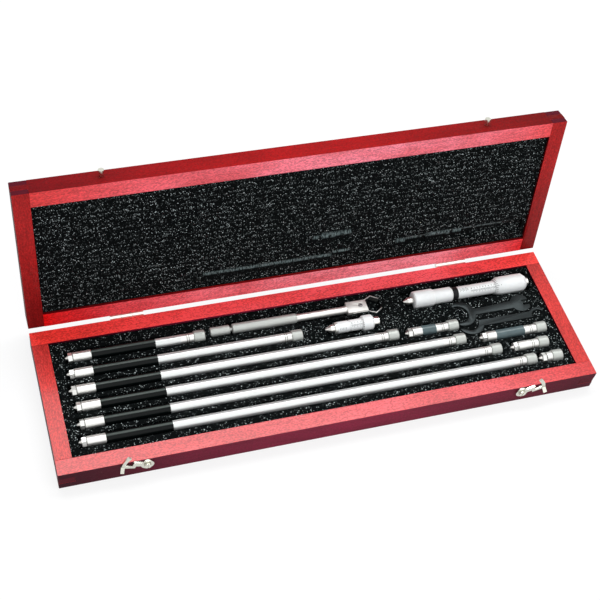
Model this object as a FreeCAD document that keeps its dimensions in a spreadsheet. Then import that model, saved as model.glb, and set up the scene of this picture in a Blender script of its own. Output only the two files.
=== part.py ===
import FreeCAD, Part
import os
import Sketcher
from FreeCAD import Placement, Rotation, Vector

# Tubular inside micrometer outfit: two measuring heads, a handle, ten extension rods and two
# spanners, bedded in foam in their hinged wooden case, with the lid open.
# X runs along the case, Y from its front to its back and Z up. The origin is the centre of the
# case's underside. Lengths are in millimetres and angles in degrees.
SIZES = {
    # Case: four finger-jointed boards, a panel and a foam bed in the base and in the lid
    "base_height": 18.2,
    "lid_height": 15.6,
    "wall": 12.3,
    "panel_thickness": 3.0,
    "base_foam_recess": 2.0,
    "lid_foam_recess": 2.2,
    "bed_clearance": 0.3,
    "slot_depth": 3.0,
    "slot_margin": 0.5,
    "head_slot_margin": 1.8,
    "lid_clearance": 0.5,
    "axis_below_foam": 1.0,
    # Hinges at the back
    "lid_open_angle": 100.0,
    "hinge_offset": 2.12,
    "hinge_inset": 75.5,
    "hinge_length": 26.0,
    "hinge_gap": 0.3,
    "leaf_height": 10.0,
    "leaf_thickness": 1.0,
    "knuckle_radius": 2.0,
    "pin_radius": 0.9,
    "pin_clearance": 0.05,
    "hinge_screw_spacing": 14.0,
    "hinge_screw_radius": 1.0,
    "hinge_screw_depth": 8.0,
    "hinge_screw_head_radius": 1.9,
    "hinge_screw_head": 0.8,
    "screw_clearance": 0.08,
    # Hooks on the front of the base and studs on the front of the lid
    "hook_inset": 63.9,
    "hook_pivot_drop": 5.0,
    "hook_rest_angle": 18.0,
    "hook_thickness": 1.5,
    "hook_gap": 0.3,
    "hook_eye_radius": 4.8,
    "hook_arm_length": 11.0,
    "hook_arm_width": 4.4,
    "hook_throat_length": 5.4,
    "hook_throat_drop": 1.9,
    "hook_bar_width": 2.8,
    "prong_width": 2.8,
    "prong_angle": 27.0,
    "tab_length": 4.8,
    "tab_bend": 40.0,
    "hook_screw_radius": 1.3,
    "hook_screw_depth": 8.0,
    "hook_screw_head_radius": 2.7,
    "hook_screw_head": 1.4,
    "stud_above_pivot": 13.7,
    "stud_radius": 1.5,
    "stud_length": 5.6,
    "stud_depth": 6.0,
    "stud_head_radius": 2.2,
    "stud_head": 1.8,
    # Extension rods: nominal lengths, and where they lie. Long rods start this far from the left
    # wall, and each short rod this far behind the end of the long one in its row.
    "front_margin": 12.7,
    "back_margin": 14.4,
    "row_pitch": 14.9,
    "rod_overhang": 6.5,
    "rod_4_inch_nominal": 101.6,
    "rod_4_inch_inset": 10.2,
    "rod_7_inch_nominal": 177.8,
    "rod_7_inch_inset": 8.8,
    "rod_10_inch_nominal": 254.0,
    "rod_10_inch_inset": 7.8,
    "rod_12_inch_nominal": 304.8,
    "rod_12_inch_inset": 8.6,
    "rod_13_inch_nominal": 330.2,
    "rod_13_inch_inset": 8.3,
    "rod_14_inch_nominal": 355.6,
    "rod_14_inch_inset": 6.9,
    "rod_1_5_inch_nominal": 38.1,
    "rod_1_5_inch_gap": 6.1,
    "rod_1_5_inch_shift": -0.7,
    "rod_2_inch_nominal": 50.8,
    "rod_2_inch_gap": 12.2,
    "rod_2_inch_shift": -1.9,
    "rod_1_inch_nominal": 25.4,
    "rod_1_inch_gap": 8.5,
    "rod_1_inch_shift": -1.0,
    "rod_0_5_inch_nominal": 12.7,
    "rod_0_5_inch_gap": 3.1,
    "rod_0_5_inch_shift": -0.6,
    "last_row_end_gap": 7.1,
    # Rod details
    "nose_length": 2.3,
    "nose_tip_radius": 0.8,
    "nose_radius": 2.2,
    "contact_shank_radius": 1.5,
    "contact_shank_length": 6.0,
    "flange_length": 3.1,
    "flange_radius": 3.95,
    "neck_length": 0.6,
    "neck_radius": 3.2,
    "long_fitting_end": 19.8,
    "short_fitting_end": 13.7,
    "fitting_radius": 3.95,
    "fit_clearance": 0.02,
    "tube_radius": 3.8,
    "tube_bore_radius": 3.0,
    "tube_spigot_length": 5.0,
    "grip_length": 49.4,
    "grip_thickness": 0.33,
    "rear_fitting_length": 10.4,
    "ring_width": 0.5,
    "ring_depth": 0.25,
    "ring_inset": 4.6,
    "ring_spacing": 1.6,
    "collar_length": 8.7,
    "collar_radius": 4.9,
    "collar_chamfer": 0.5,
    "collar_spigot_radius": 3.0,
    "collar_socket": 3.5,
    # Large measuring head, from its contact to its anvil
    "large_head_end_gap": 1.2,
    "large_overrun": 3.0,
    "large_nose_length": 3.7,
    "large_nose_radius": 2.9,
    "large_stub_length": 4.6,
    "large_stub_radius": 3.1,
    "large_contact_shank": 6.0,
    "large_contact_shank_radius": 2.0,
    "large_collar_length": 17.4,
    "large_collar_radius": 7.2,
    "large_collar_chamfer": 0.8,
    "large_spigot_radius": 5.0,
    "large_spigot_length": 6.0,
    "large_body_length": 16.5,
    "large_body_radius": 6.1,
    "large_body_chamfer": 1.2,
    "large_ring_length": 4.6,
    "large_ring_radius": 5.25,
    "large_nose_spigot_radius": 3.6,
    "large_nose_spigot_length": 7.4,
    "large_sleeve_radius": 5.1,
    "large_sleeve_line": 10.6,
    "large_sleeve_length": 35.7,
    "large_screw_radius": 2.95,
    "large_screw_length": 31.5,
    "running_clearance": 0.1,
    "large_reading": 22.4,
    "large_bevel": 2.9,
    "large_edge_radius": 5.9,
    "large_thimble_radius": 7.7,
    "large_thimble_length": 27.7,
    "large_thimble_chamfer": 3.2,
    "large_end_radius": 5.2,
    "large_end_wall": 2.3,
    "large_anvil_radius": 3.2,
    "large_anvil_length": 3.1,
    "anvil_shank_radius": 2.0,
    # Small measuring head
    "small_head_gap": 19.8,
    "small_head_shift": 1.0,
    "small_nose_length": 4.1,
    "small_nose_radius": 3.1,
    "small_stub_length": 3.3,
    "small_stub_radius": 3.3,
    "small_contact_shank": 5.0,
    "small_contact_shank_radius": 1.8,
    "small_ring_length": 2.2,
    "small_ring_radius": 4.6,
    "small_sleeve_radius": 4.6,
    "small_sleeve_line": 9.1,
    "small_line_width": 1.5,
    "small_line_radius": 4.2,
    "small_sleeve_length": 20.7,
    "small_screw_radius": 2.3,
    "small_screw_length": 15.9,
    "small_reading": 8.4,
    "small_bevel": 1.0,
    "small_edge_radius": 5.4,
    "small_thimble_radius": 6.35,
    "small_thimble_length": 9.5,
    "small_thimble_chamfer": 1.2,
    "small_end_wall": 1.3,
    "small_anvil_radius": 3.8,
    "small_anvil_length": 5.4,
    # Handle
    "handle_gap": 4.8,
    "handle_shift": 1.8,
    "knob_length": 15.8,
    "knob_radius": 3.75,
    "knob_chamfer": 0.5,
    "knob_neck": 2.1,
    "knob_stem_radius": 1.5,
    "knob_stem_length": 8.0,
    "handle_grip_length": 52.4,
    "handle_grip_radius": 4.0,
    "handle_rod_length": 42.2,
    "handle_rod_radius": 3.0,
    "handle_spigot_length": 10.0,
    "handle_spigot_radius": 2.2,
    "handle_ring_inset": 19.0,
    "handle_ring_spacing": 5.6,
    "block_length": 16.9,
    "block_width": 10.5,
    "block_height": 5.4,
    "clip_thickness": 0.7,
    "clip_height": 4.6,
    "clip_side_length": 13.3,
    "clip_elbow_ahead": 5.6,
    "clip_elbow_spread": 9.0,
    "clip_tip_length": 6.0,
    "clip_tip_spread": 5.0,
    "clip_slope": 1.2,
    "clip_screw_inset": 5.4,
    "clip_screw_radius": 1.1,
    "clip_screw_head_radius": 1.8,
    "clip_screw_head": 0.8,
    # Spanners, cut from flat plate, placed from the case's right and back walls
    "spanner_thickness": 2.4,
    "spanner_rise": 0.8,
    "upper_hook_inset": 72.2,
    "upper_hook_drop": 36.5,
    "upper_hook_radius": 11.75,
    "upper_bore_offset": 2.4,
    "upper_bore_radius": 8.0,
    "upper_mouth_offset": 5.5,
    "upper_shank_start": 7.5,
    "upper_shank_width": 5.2,
    "upper_head_inset": 19.9,
    "upper_head_drop": 35.4,
    "upper_head_radius": 8.4,
    "upper_shank_end_width": 7.8,
    "upper_jaw_width": 4.9,
    "upper_jaw_depth": 1.9,
    "upper_jaw_tips": 7.1,
    "lower_hook_inset": 68.5,
    "lower_hook_drop": 46.6,
    "lower_hook_radius": 11.0,
    "lower_bore_shift": 0.7,
    "lower_bore_rise": 0.9,
    "lower_bore_radius": 7.8,
    "lower_tip_drop": 3.8,
    "lower_shank_top": 1.4,
    "lower_shank_start": 7.3,
    "lower_shank_width": 5.8,
    "lower_nib_inset": 9.7,
    "lower_nib_drop": 5.0,
    "lower_nib_radius": 8.0,
    "lower_nib_bore_radius": 5.8,
    "lower_nib_angle": 38.0,
}

LONG_RODS = (
    "rod_4_inch",
    "rod_7_inch",
    "rod_10_inch",
    "rod_12_inch",
    "rod_13_inch",
    "rod_14_inch",
)
SHORT_RODS = ("rod_1_5_inch", "rod_2_inch")
SOLID_RODS = ("rod_1_inch", "rod_0_5_inch")


class Size:
    """A size with the sheet expression that it comes from."""

    def __init__(self, value, text):
        self.value = value
        self.text = text

    def __add__(self, other):
        other = as_size(other)
        return Size(self.value + other.value, f"({self.text} + {other.text})")

    def __sub__(self, other):
        other = as_size(other)
        return Size(self.value - other.value, f"({self.text} - {other.text})")

    def __mul__(self, other):
        other = as_size(other)
        return Size(self.value * other.value, f"({self.text} * {other.text})")

    def __truediv__(self, other):
        other = as_size(other)
        return Size(self.value / other.value, f"({self.text} / {other.text})")

    def __neg__(self):
        return Size(-self.value, f"(0 - {self.text})")


def as_size(number):
    if isinstance(number, Size):
        return number
    return Size(float(number), f"{float(number):g}")


class SizeSheet:
    """The sizes of the sheet, each under its own name."""


doc = FreeCAD.newDocument("inside_micrometer_outfit")
sheet = doc.addObject("Spreadsheet::Sheet", "sizes")
sizes = SizeSheet()
for row, (alias, value) in enumerate(SIZES.items(), 1):
    sheet.set(f"A{row}", alias)
    sheet.set(f"B{row}", f"{value:g}")
    sheet.setAlias(f"B{row}", alias)
    setattr(sizes, alias, Size(value, "sizes." + alias))
doc.recompute()

ALONG_X = Rotation(Vector(0, 1, 0), 90)
ALONG_BACK = Rotation(Vector(1, 0, 0), -90)
UPRIGHT = Rotation()
LEFT = -1
RIGHT = 1
nodes = []


def point(x, y, z):
    return Vector(as_size(x).value, as_size(y).value, as_size(z).value)


def node(shape_object, name, placement=None):
    """Gives a finished sub-part the name that its file gets."""
    shape_object.Label = name
    if placement is not None:
        shape_object.Placement = placement
    nodes.append(shape_object)
    return shape_object


def bind(shape_object, **bound):
    for name, size in bound.items():
        shape_object.setExpression(name, as_size(size).text)
    return shape_object


def box(name, length, width, height, corner, turn=UPRIGHT):
    block = doc.addObject("Part::Box", name)
    block.Placement = Placement(corner, turn)
    return bind(block, Length=length, Width=width, Height=height)


def cylinder(name, radius, height, start, turn=UPRIGHT, sector=360):
    """A cylinder that runs from its start along its own Z, or a sector of one."""
    bar = doc.addObject("Part::Cylinder", name)
    bar.Placement = Placement(start, turn)
    return bind(bar, Radius=radius, Height=height, Angle=sector)


def fuse(name, *pieces):
    whole = doc.addObject("Part::MultiFuse", name)
    whole.Shapes = list(pieces)
    return whole


def cut(name, base, *tools):
    tool = tools[0] if len(tools) == 1 else fuse(name + "_tools", *tools)
    rest = doc.addObject("Part::Cut", name)
    rest.Base = base
    rest.Tool = tool
    return rest


def group(name, pieces):
    """Like pieces, each a solid of its own, under one name."""
    together = doc.addObject("Part::Compound", name)
    together.Links = list(pieces)
    return together


def drawn(body, plane, corners):
    """A closed sketch on one of the body's own planes, each corner held by two bound distances."""
    sketch = body.newObject("Sketcher::SketchObject", body.Name + "_sketch")
    support = [f for f in body.Origin.OriginFeatures if f.Role == plane]
    sketch.AttachmentSupport = [(support[0], "")]
    sketch.MapMode = "FlatFace"
    corners = [(as_size(x), as_size(y)) for x, y in corners]
    places = [Vector(x.value, y.value, 0) for x, y in corners]
    for k, place in enumerate(places):
        following = places[(k + 1) % len(places)]
        sketch.addGeometry(Part.LineSegment(place, following), False)
    for k in range(len(places)):
        following = (k + 1) % len(places)
        sketch.addConstraint(Sketcher.Constraint("Coincident", k, 2, following, 1))
    for k, (x, y) in enumerate(corners):
        for kind, distance in (("DistanceX", x), ("DistanceY", y)):
            held = Sketcher.Constraint(kind, -1, 1, k, 1, distance.value)
            index = sketch.addConstraint(held)
            sketch.setExpression(f"Constraints[{index}]", distance.text)
    return sketch


def turned(name, corners, start):
    """A lathe-turned piece along X: corners are (distance from its start, radius)."""
    body = doc.addObject("PartDesign::Body", name)
    sketch = drawn(body, "XZ_Plane", corners)
    turning = body.newObject("PartDesign::Revolution", name + "_turning")
    turning.Profile = sketch
    turning.ReferenceAxis = (sketch, ["H_Axis"])
    turning.Angle = 360
    body.Placement = Placement(start, UPRIGHT)
    return body


def plate(name, plane, corners, thickness, centre):
    """A flat piece: an outline padded to both sides of the plane that it is drawn on."""
    body = doc.addObject("PartDesign::Body", name)
    sketch = drawn(body, plane, corners)
    pad = body.newObject("PartDesign::Pad", name + "_pad")
    pad.Profile = sketch
    pad.SideType = "Symmetric"
    bind(pad, Length=thickness)
    body.Placement = Placement(centre, UPRIGHT)
    return body


def bed(name, steps, start, clearance):
    """The room that a turned piece needs: steps are (from, to, radius) along it."""
    corners = [(steps[0][0] - clearance, 0)]
    before = as_size(0)
    for k, (left, right, radius) in enumerate(steps):
        grown = radius + clearance
        widens = radius.value > before.value
        narrows = k == len(steps) - 1 or steps[k + 1][2].value < radius.value
        entry = left - clearance if widens else left + clearance
        leave = right + clearance if narrows else right - clearance
        corners += [(entry, grown), (leave, grown)]
        before = radius
    corners.append((steps[-1][1] + clearance, 0))
    return turned(name, corners, start)


def trough(name, half_width, start, length):
    """The straight-sided mouth of a bed, cut down to a little below the axis."""
    clearance = sizes.bed_clearance
    corner = start + point(-clearance, -half_width, -sizes.slot_depth)
    height = sizes.slot_depth + sizes.lid_height
    return box(name, length + clearance * 2, half_width * 2, height, corner)


def rod_length(name):
    return getattr(sizes, name + "_nominal") + sizes.rod_overhang


# The case is as long as its last row of rods and as deep as all its rows
last_row = rod_length(LONG_RODS[-1]) + sizes.rod_0_5_inch_gap + rod_length(SOLID_RODS[-1])
inner_length = sizes.rod_14_inch_inset + last_row + sizes.last_row_end_gap
inner_depth = sizes.front_margin + sizes.row_pitch * (len(LONG_RODS) - 1) + sizes.back_margin
half_length = inner_length / 2 + sizes.wall
half_depth = inner_depth / 2 + sizes.wall
left_wall = -inner_length / 2
right_wall = inner_length / 2
back_wall = inner_depth / 2
first_row = back_wall - sizes.back_margin

# Levels that several pieces share
foam_top = sizes.base_height - sizes.base_foam_recess
lid_foam_face = sizes.base_height + sizes.lid_foam_recess
lid_top = sizes.base_height + sizes.lid_height
axis_height = foam_top - sizes.axis_below_foam
hinge_y = half_depth + sizes.hinge_offset
hinge_axis = point(0, hinge_y, sizes.base_height)
swung = Rotation(Vector(1, 0, 0), -sizes.lid_open_angle.value)
opened = Placement(hinge_axis, swung) * Placement(-hinge_axis, UPRIGHT)


# Boards: the base rails own the upper and lower fingers of each corner, the lid stiles do so in
# the lid, and the other board of each corner owns the middle finger
def board(name, plane, half_span, height, long_ends, centre):
    finger = height / 3
    spans = []
    for level in range(3):
        is_long = (level != 1) == long_ends
        spans.append(half_span if is_long else half_span - sizes.wall)
    right = []
    for level, span in enumerate(spans):
        right += [(span, finger * level), (span, finger * (level + 1))]
    left = [(-span, rise) for span, rise in reversed(right)]
    return plate(name, plane, right + left, sizes.wall, centre)


def drill(name, radius, depth, mouth, turn):
    return cylinder(name, radius + sizes.screw_clearance, depth, mouth, turn)


rail_y = half_depth - sizes.wall / 2
stile_x = half_length - sizes.wall / 2
hook_x = half_length - sizes.hook_inset
hinge_x = half_length - sizes.hinge_inset
pivot_height = sizes.base_height - sizes.hook_pivot_drop
stud_height = pivot_height + sizes.stud_above_pivot
leaf_screw_drop = sizes.leaf_height / 2 + sizes.knuckle_radius
screw_offsets = (-sizes.hinge_screw_spacing / 2, sizes.hinge_screw_spacing / 2)
hinge_screw_x = []
for side in (LEFT, RIGHT):
    for offset in screw_offsets:
        hinge_screw_x.append(hinge_x * side + offset)

# Each rail gets its pilot holes: hook screws in front, hinge screws behind
front_holes = []
lid_front_holes = []
for side in (LEFT, RIGHT):
    mouth = point(hook_x * side, -half_depth, pivot_height)
    front_holes.append(
        drill(f"hook_pilot{side}", sizes.hook_screw_radius, sizes.hook_screw_depth, mouth, ALONG_BACK)
    )
    mouth = point(hook_x * side, -half_depth, stud_height)
    lid_front_holes.append(
        drill(f"stud_pilot{side}", sizes.stud_radius, sizes.stud_depth, mouth, ALONG_BACK)
    )
back_holes = []
lid_back_holes = []
for k, x in enumerate(hinge_screw_x):
    for holes, height in (
        (back_holes, sizes.base_height - leaf_screw_drop),
        (lid_back_holes, sizes.base_height + leaf_screw_drop),
    ):
        bottom = point(x, half_depth - sizes.hinge_screw_depth, height)
        hole_name = f"hinge_pilot{k}_{len(holes)}"
        holes.append(
            drill(hole_name, sizes.hinge_screw_radius, sizes.hinge_screw_depth, bottom, ALONG_BACK)
        )

for part, bottom, height, rails_long, placement, front, back in (
    ("base", as_size(0), sizes.base_height, True, None, front_holes, back_holes),
    ("lid", sizes.base_height, sizes.lid_height, False, opened, lid_front_holes, lid_back_holes),
):
    for name, y, holes in (("front_rail", -rail_y, front), ("back_rail", rail_y, back)):
        centre = point(0, y, bottom)
        blank = board(f"{part}_{name}_blank", "XZ_Plane", half_length, height, rails_long, centre)
        node(cut(f"{part}_{name}", blank, *holes), f"{part}_{name}", placement)
    for name, x in (("left_stile", -stile_x), ("right_stile", stile_x)):
        centre = point(x, 0, bottom)
        if placement is not None:
            centre_placement = placement * Placement(centre, UPRIGHT)
        else:
            centre_placement = Placement(centre, UPRIGHT)
        stile = board(f"{part}_{name}", "YZ_Plane", half_depth, height, not rails_long, centre)
        node(stile, f"{part}_{name}", centre_placement)


def lining(name, bottom, height):
    """A layer that fills the case between its boards."""
    corner = point(-inner_length / 2, -inner_depth / 2, bottom)
    return box(name, inner_length, inner_depth, height, corner)


node(lining("base_bottom_panel", 0, sizes.panel_thickness), "base_bottom_panel")
lid_panel_bottom = lid_top - sizes.panel_thickness
lid_panel = lining("lid_top_panel", lid_panel_bottom, sizes.panel_thickness)
node(lid_panel, "lid_top_panel", opened * lid_panel.Placement)


# Butt hinges: the base leaf has the middle knuckle and the lid leaf the two outer ones
knuckle_length = sizes.hinge_length / 3 - sizes.hinge_gap / 2
pin_bore = sizes.pin_radius + sizes.pin_clearance
base_leaves = []
lid_leaves = []
hinge_pins = []
for side in (LEFT, RIGHT):
    hinge_start = hinge_x * side - sizes.hinge_length / 2
    outer_start = hinge_x * side + sizes.hinge_length / 6 + sizes.hinge_gap / 2
    middle_start = hinge_x * side - sizes.hinge_length / 6 + sizes.hinge_gap / 4
    knuckle_clear = sizes.knuckle_radius + sizes.hinge_gap
    leaf_reach = sizes.leaf_height - knuckle_clear + sizes.hinge_gap * 5
    bore_start = point(hinge_start - 1, hinge_y, sizes.base_height)
    bore = cylinder(f"hinge_bore{side}", pin_bore, sizes.hinge_length + 2, bore_start, ALONG_X)
    for leaf, starts, above in (
        ("base", (middle_start,), False),
        ("lid", (hinge_start, outer_start), True),
    ):
        label = f"{leaf}_leaf{side}"
        if above:
            flat_bottom = sizes.base_height + knuckle_clear
            tab_bottom = sizes.base_height + sizes.hinge_gap
            screw_height = sizes.base_height + leaf_screw_drop
        else:
            flat_bottom = sizes.base_height - knuckle_clear - leaf_reach
            tab_bottom = sizes.base_height - knuckle_clear
            screw_height = sizes.base_height - leaf_screw_drop
        corner = point(hinge_start, half_depth, flat_bottom)
        flat = box(label + "_flat", sizes.hinge_length, sizes.leaf_thickness, leaf_reach, corner)
        pieces = [flat]
        for k, start in enumerate(starts):
            corner = point(start, half_depth, tab_bottom)
            tab_height = knuckle_clear - sizes.hinge_gap
            name = f"{label}_tab{k}"
            pieces.append(box(name, knuckle_length, sizes.leaf_thickness, tab_height, corner))
            place = point(start, hinge_y, sizes.base_height)
            name = f"{label}_knuckle{k}"
            pieces.append(cylinder(name, sizes.knuckle_radius, knuckle_length, place, ALONG_X))
        holes = [bore]
        for k, offset in enumerate(screw_offsets):
            mouth = point(hinge_x * side + offset, half_depth - 1, screw_height)
            depth = sizes.leaf_thickness + 2
            holes.append(
                drill(f"{label}_hole{k}", sizes.hinge_screw_radius, depth, mouth, ALONG_BACK)
            )
        leaf_shape = cut(label, fuse(label + "_blank", *pieces), *holes)
        if above:
            lid_leaves.append(leaf_shape)
        else:
            base_leaves.append(leaf_shape)
    pin_start = point(hinge_start, hinge_y, sizes.base_height)
    name = f"hinge_pin{side}"
    hinge_pins.append(cylinder(name, sizes.pin_radius, sizes.hinge_length, pin_start, ALONG_X))
node(group("base_leaves", base_leaves), "hinge_base_leaves")
node(group("lid_leaves", lid_leaves), "hinge_lid_leaves", opened)
node(group("pins", hinge_pins), "hinge_pins")


def hinge_screw(name, x, height):
    """A round-headed wood screw with a driving slot, driven in from the back."""
    face = half_depth + sizes.leaf_thickness
    shank_start = point(x, half_depth - sizes.hinge_screw_depth, height)
    shank_length = sizes.hinge_screw_depth + sizes.leaf_thickness
    shank = cylinder(name + "_shank", sizes.hinge_screw_radius, shank_length, shank_start, ALONG_BACK)
    head_start = point(x, face, height)
    head = cylinder(
        name + "_head", sizes.hinge_screw_head_radius, sizes.hinge_screw_head, head_start, ALONG_BACK
    )
    slot_width = sizes.hinge_screw_head / 2
    slot_length = sizes.hinge_screw_head_radius * 2
    slot_start = face + sizes.hinge_screw_head / 2
    corner = point(x - slot_width / 2, slot_start, height - slot_length / 2)
    slot = box(name + "_slot", slot_width, sizes.hinge_screw_head, slot_length, corner)
    return cut(name, fuse(name + "_blank", shank, head), slot)


base_screws = []
lid_screws = []
for k, x in enumerate(hinge_screw_x):
    base_screws.append(hinge_screw(f"base_hinge_screw{k}", x, sizes.base_height - leaf_screw_drop))
    lid_screws.append(hinge_screw(f"lid_hinge_screw{k}", x, sizes.base_height + leaf_screw_drop))
node(group("base_hinge_screws", base_screws), "hinge_screws_base")
node(group("lid_hinge_screws", lid_screws), "hinge_screws_lid", opened)


# Hooks: each is one stamped plate, drawn with its arm along X and its pivot at the origin
throat_end = sizes.hook_arm_length + sizes.hook_throat_length
bar_bottom = sizes.hook_throat_drop + sizes.hook_bar_width
plate_front = half_depth + sizes.hook_gap + sizes.hook_thickness
FACING_FRONT = Rotation(Vector(1, 0, 0), 90)


def hook_bar(name, side, start, end, low, high):
    left = start if side == RIGHT else -end
    corner = point(left, -sizes.hook_thickness / 2, low)
    return box(name, end - start, sizes.hook_thickness, high - low, corner)


def hook_disc(name, radius, side=RIGHT, low_angle=0, sector=360):
    """A disc or sector in the hook's plane, its angles counted from the arm upwards."""
    first = as_size(low_angle).value
    if side == LEFT:
        first = 180 - first - as_size(sector).value
    turn = FACING_FRONT * Rotation(Vector(0, 0, 1), first)
    start = point(0, sizes.hook_thickness / 2, 0)
    return cylinder(name, radius, sizes.hook_thickness, start, turn, sector)


prong_sweep = sizes.prong_angle * 1.5
for side, name in ((LEFT, "hook_left"), (RIGHT, "hook_right")):
    eye = hook_disc(name + "_eye", sizes.hook_eye_radius)
    half_arm = sizes.hook_arm_width / 2
    arm = hook_bar(name + "_arm", side, as_size(0), sizes.hook_arm_length, -half_arm, half_arm)
    bar_start = sizes.hook_arm_length - sizes.hook_bar_width
    bar_end = throat_end + sizes.prong_width / 2
    bar = hook_bar(
        name + "_bar", side, bar_start, bar_end, -bar_bottom, -sizes.hook_throat_drop
    )
    outer = hook_disc(
        name + "_prong_outside",
        throat_end + sizes.prong_width,
        side,
        sizes.prong_angle - prong_sweep,
        prong_sweep,
    )
    prong = cut(name + "_prong", outer, hook_disc(name + "_prong_inside", throat_end))
    tab_turn = Rotation(Vector(1, 0, 0), -sizes.tab_bend.value)
    tab_left = throat_end if side == RIGHT else -throat_end - sizes.prong_width
    tab_down = Vector(0, -sizes.hook_thickness.value / 2, -sizes.tab_length.value)
    tab_root = point(tab_left, 0, -bar_bottom + sizes.hook_thickness / 2)
    tab = box(
        name + "_tab",
        sizes.prong_width,
        sizes.hook_thickness,
        sizes.tab_length,
        tab_root + tab_turn.multVec(tab_down),
        tab_turn,
    )
    eye_bore = hook_disc(name + "_bore", sizes.hook_screw_radius + sizes.screw_clearance)
    hook = cut(name, fuse(name + "_blank", eye, arm, bar, prong, tab), eye_bore)
    pivot = point(hook_x * side, sizes.hook_thickness / 2 - plate_front, pivot_height)
    rest = Rotation(Vector(0, 1, 0), -side * sizes.hook_rest_angle.value)
    node(hook, name, Placement(pivot, rest))

hook_screws = []
lid_studs = []
head_face = plate_front + sizes.hook_gap / 2
for side in (LEFT, RIGHT):
    name = f"hook_screw{side}"
    x = hook_x * side
    shank_start = point(x, -head_face, pivot_height)
    shank_length = head_face - half_depth + sizes.hook_screw_depth
    shank = cylinder(name + "_shank", sizes.hook_screw_radius, shank_length, shank_start, ALONG_BACK)
    head_start = point(x, -head_face - sizes.hook_screw_head, pivot_height)
    head = cylinder(
        name + "_head", sizes.hook_screw_head_radius, sizes.hook_screw_head, head_start, ALONG_BACK
    )
    slot_width = sizes.hook_screw_head / 2
    slot_length = sizes.hook_screw_head_radius * 2
    slot_corner = point(
        x - slot_width / 2,
        -head_face - sizes.hook_screw_head * 3 / 2,
        pivot_height - slot_length / 2,
    )
    slot = box(name + "_slot", slot_width, sizes.hook_screw_head, slot_length, slot_corner)
    hook_screws.append(cut(name, fuse(name + "_blank", shank, head), slot))
    name = f"lid_stud{side}"
    tip = -half_depth - sizes.stud_length
    length = sizes.stud_length + sizes.stud_depth
    shank = cylinder(
        name + "_shank", sizes.stud_radius, length, point(x, tip, stud_height), ALONG_BACK
    )
    head = cylinder(
        name + "_head", sizes.stud_head_radius, sizes.stud_head, point(x, tip, stud_height), ALONG_BACK
    )
    lid_studs.append(fuse(name, shank, head))
node(group("both_hook_screws", hook_screws), "hook_screws")
node(group("both_lid_studs", lid_studs), "lid_studs", opened)


# Extension rods: a bored tube between two turned fittings, a hard contact in front, a coupling
# collar behind and a grip sleeve. All are laid along X from the tip.
ROW_MATES = {
    "rod_1_5_inch": "rod_10_inch",
    "rod_2_inch": "rod_12_inch",
    "rod_1_inch": "rod_13_inch",
    "rod_0_5_inch": "rod_14_inch",
}


def row_of(name):
    return first_row - sizes.row_pitch * LONG_RODS.index(name)


def rod_tip(name):
    return left_wall + getattr(sizes, name + "_inset")


def rod_end(name):
    return rod_tip(name) + rod_length(name)


def rod_start(name):
    if name in LONG_RODS:
        return point(rod_tip(name), row_of(name), axis_height)
    mate = ROW_MATES[name]
    tip = rod_end(mate) + getattr(sizes, name + "_gap")
    return point(tip, row_of(mate) + getattr(sizes, name + "_shift"), axis_height)


def along(start, distance):
    return start + Vector(as_size(distance).value, 0, 0)


flange_end = sizes.nose_length + sizes.flange_length
neck_end = flange_end + sizes.neck_length
contact_bore_radius = sizes.contact_shank_radius + sizes.fit_clearance
contact_end = sizes.nose_length + sizes.contact_shank_length
tube_spigot_radius = sizes.tube_bore_radius - sizes.fit_clearance
grip_bore_radius = sizes.tube_radius + sizes.fit_clearance
grip_radius = grip_bore_radius + sizes.grip_thickness
rear_length = sizes.rear_fitting_length + sizes.collar_length
FLANGE_TURNS = (10, 34, 21, 5, 48, 27, 15, 40, 30, 8)
FLANGE_SIDES = 6


def contact(name, start):
    corners = [
        (0, 0),
        (0, sizes.nose_tip_radius),
        (sizes.nose_length, sizes.nose_radius),
        (sizes.nose_length, sizes.contact_shank_radius),
        (contact_end, sizes.contact_shank_radius),
        (contact_end, 0),
    ]
    return turned(name, corners, start)


def flange(name, start, turn):
    """The hexagon behind the contact that a spanner takes hold of."""
    prism = doc.addObject("Part::Prism", name)
    prism.Polygon = FLANGE_SIDES
    bind(prism, Circumradius=sizes.flange_radius, Height=sizes.flange_length)
    spin = ALONG_X * Rotation(Vector(0, 0, 1), turn)
    prism.Placement = Placement(along(start, sizes.nose_length), spin)
    return prism


def with_flange(name, blank, start, turn):
    """Adds the hexagon to a turned fitting and bores it for the contact's shank."""
    whole = fuse(name + "_flanged", blank, flange(name + "_flange", start, turn))
    bore = cylinder(
        name + "_bore",
        contact_bore_radius,
        sizes.contact_shank_length,
        along(start, sizes.nose_length),
        ALONG_X,
    )
    return cut(name, whole, bore)


front_profile = [
    (sizes.nose_length, 0),
    (sizes.nose_length, sizes.neck_radius),
    (neck_end, sizes.neck_radius),
    (neck_end, sizes.fitting_radius),
]


def ring_line(inset):
    """The corners of one turned ring groove, cut into a rod's rear fitting."""
    floor = sizes.tube_radius - sizes.ring_depth
    return [
        (inset, sizes.tube_radius),
        (inset, floor),
        (inset + sizes.ring_width, floor),
        (inset + sizes.ring_width, sizes.tube_radius),
    ]


def rear_profile(start):
    """From the start of a rear fitting to the end of the spigot that carries the collar."""
    first_ring = start + sizes.ring_inset
    collar_start = start + sizes.rear_fitting_length
    spigot_end = collar_start + sizes.collar_length - sizes.collar_socket
    return [
        *ring_line(first_ring),
        *ring_line(first_ring + sizes.ring_spacing),
        (collar_start, sizes.tube_radius),
        (collar_start, sizes.collar_spigot_radius),
        (spigot_end, sizes.collar_spigot_radius),
        (spigot_end, 0),
    ]


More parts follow.
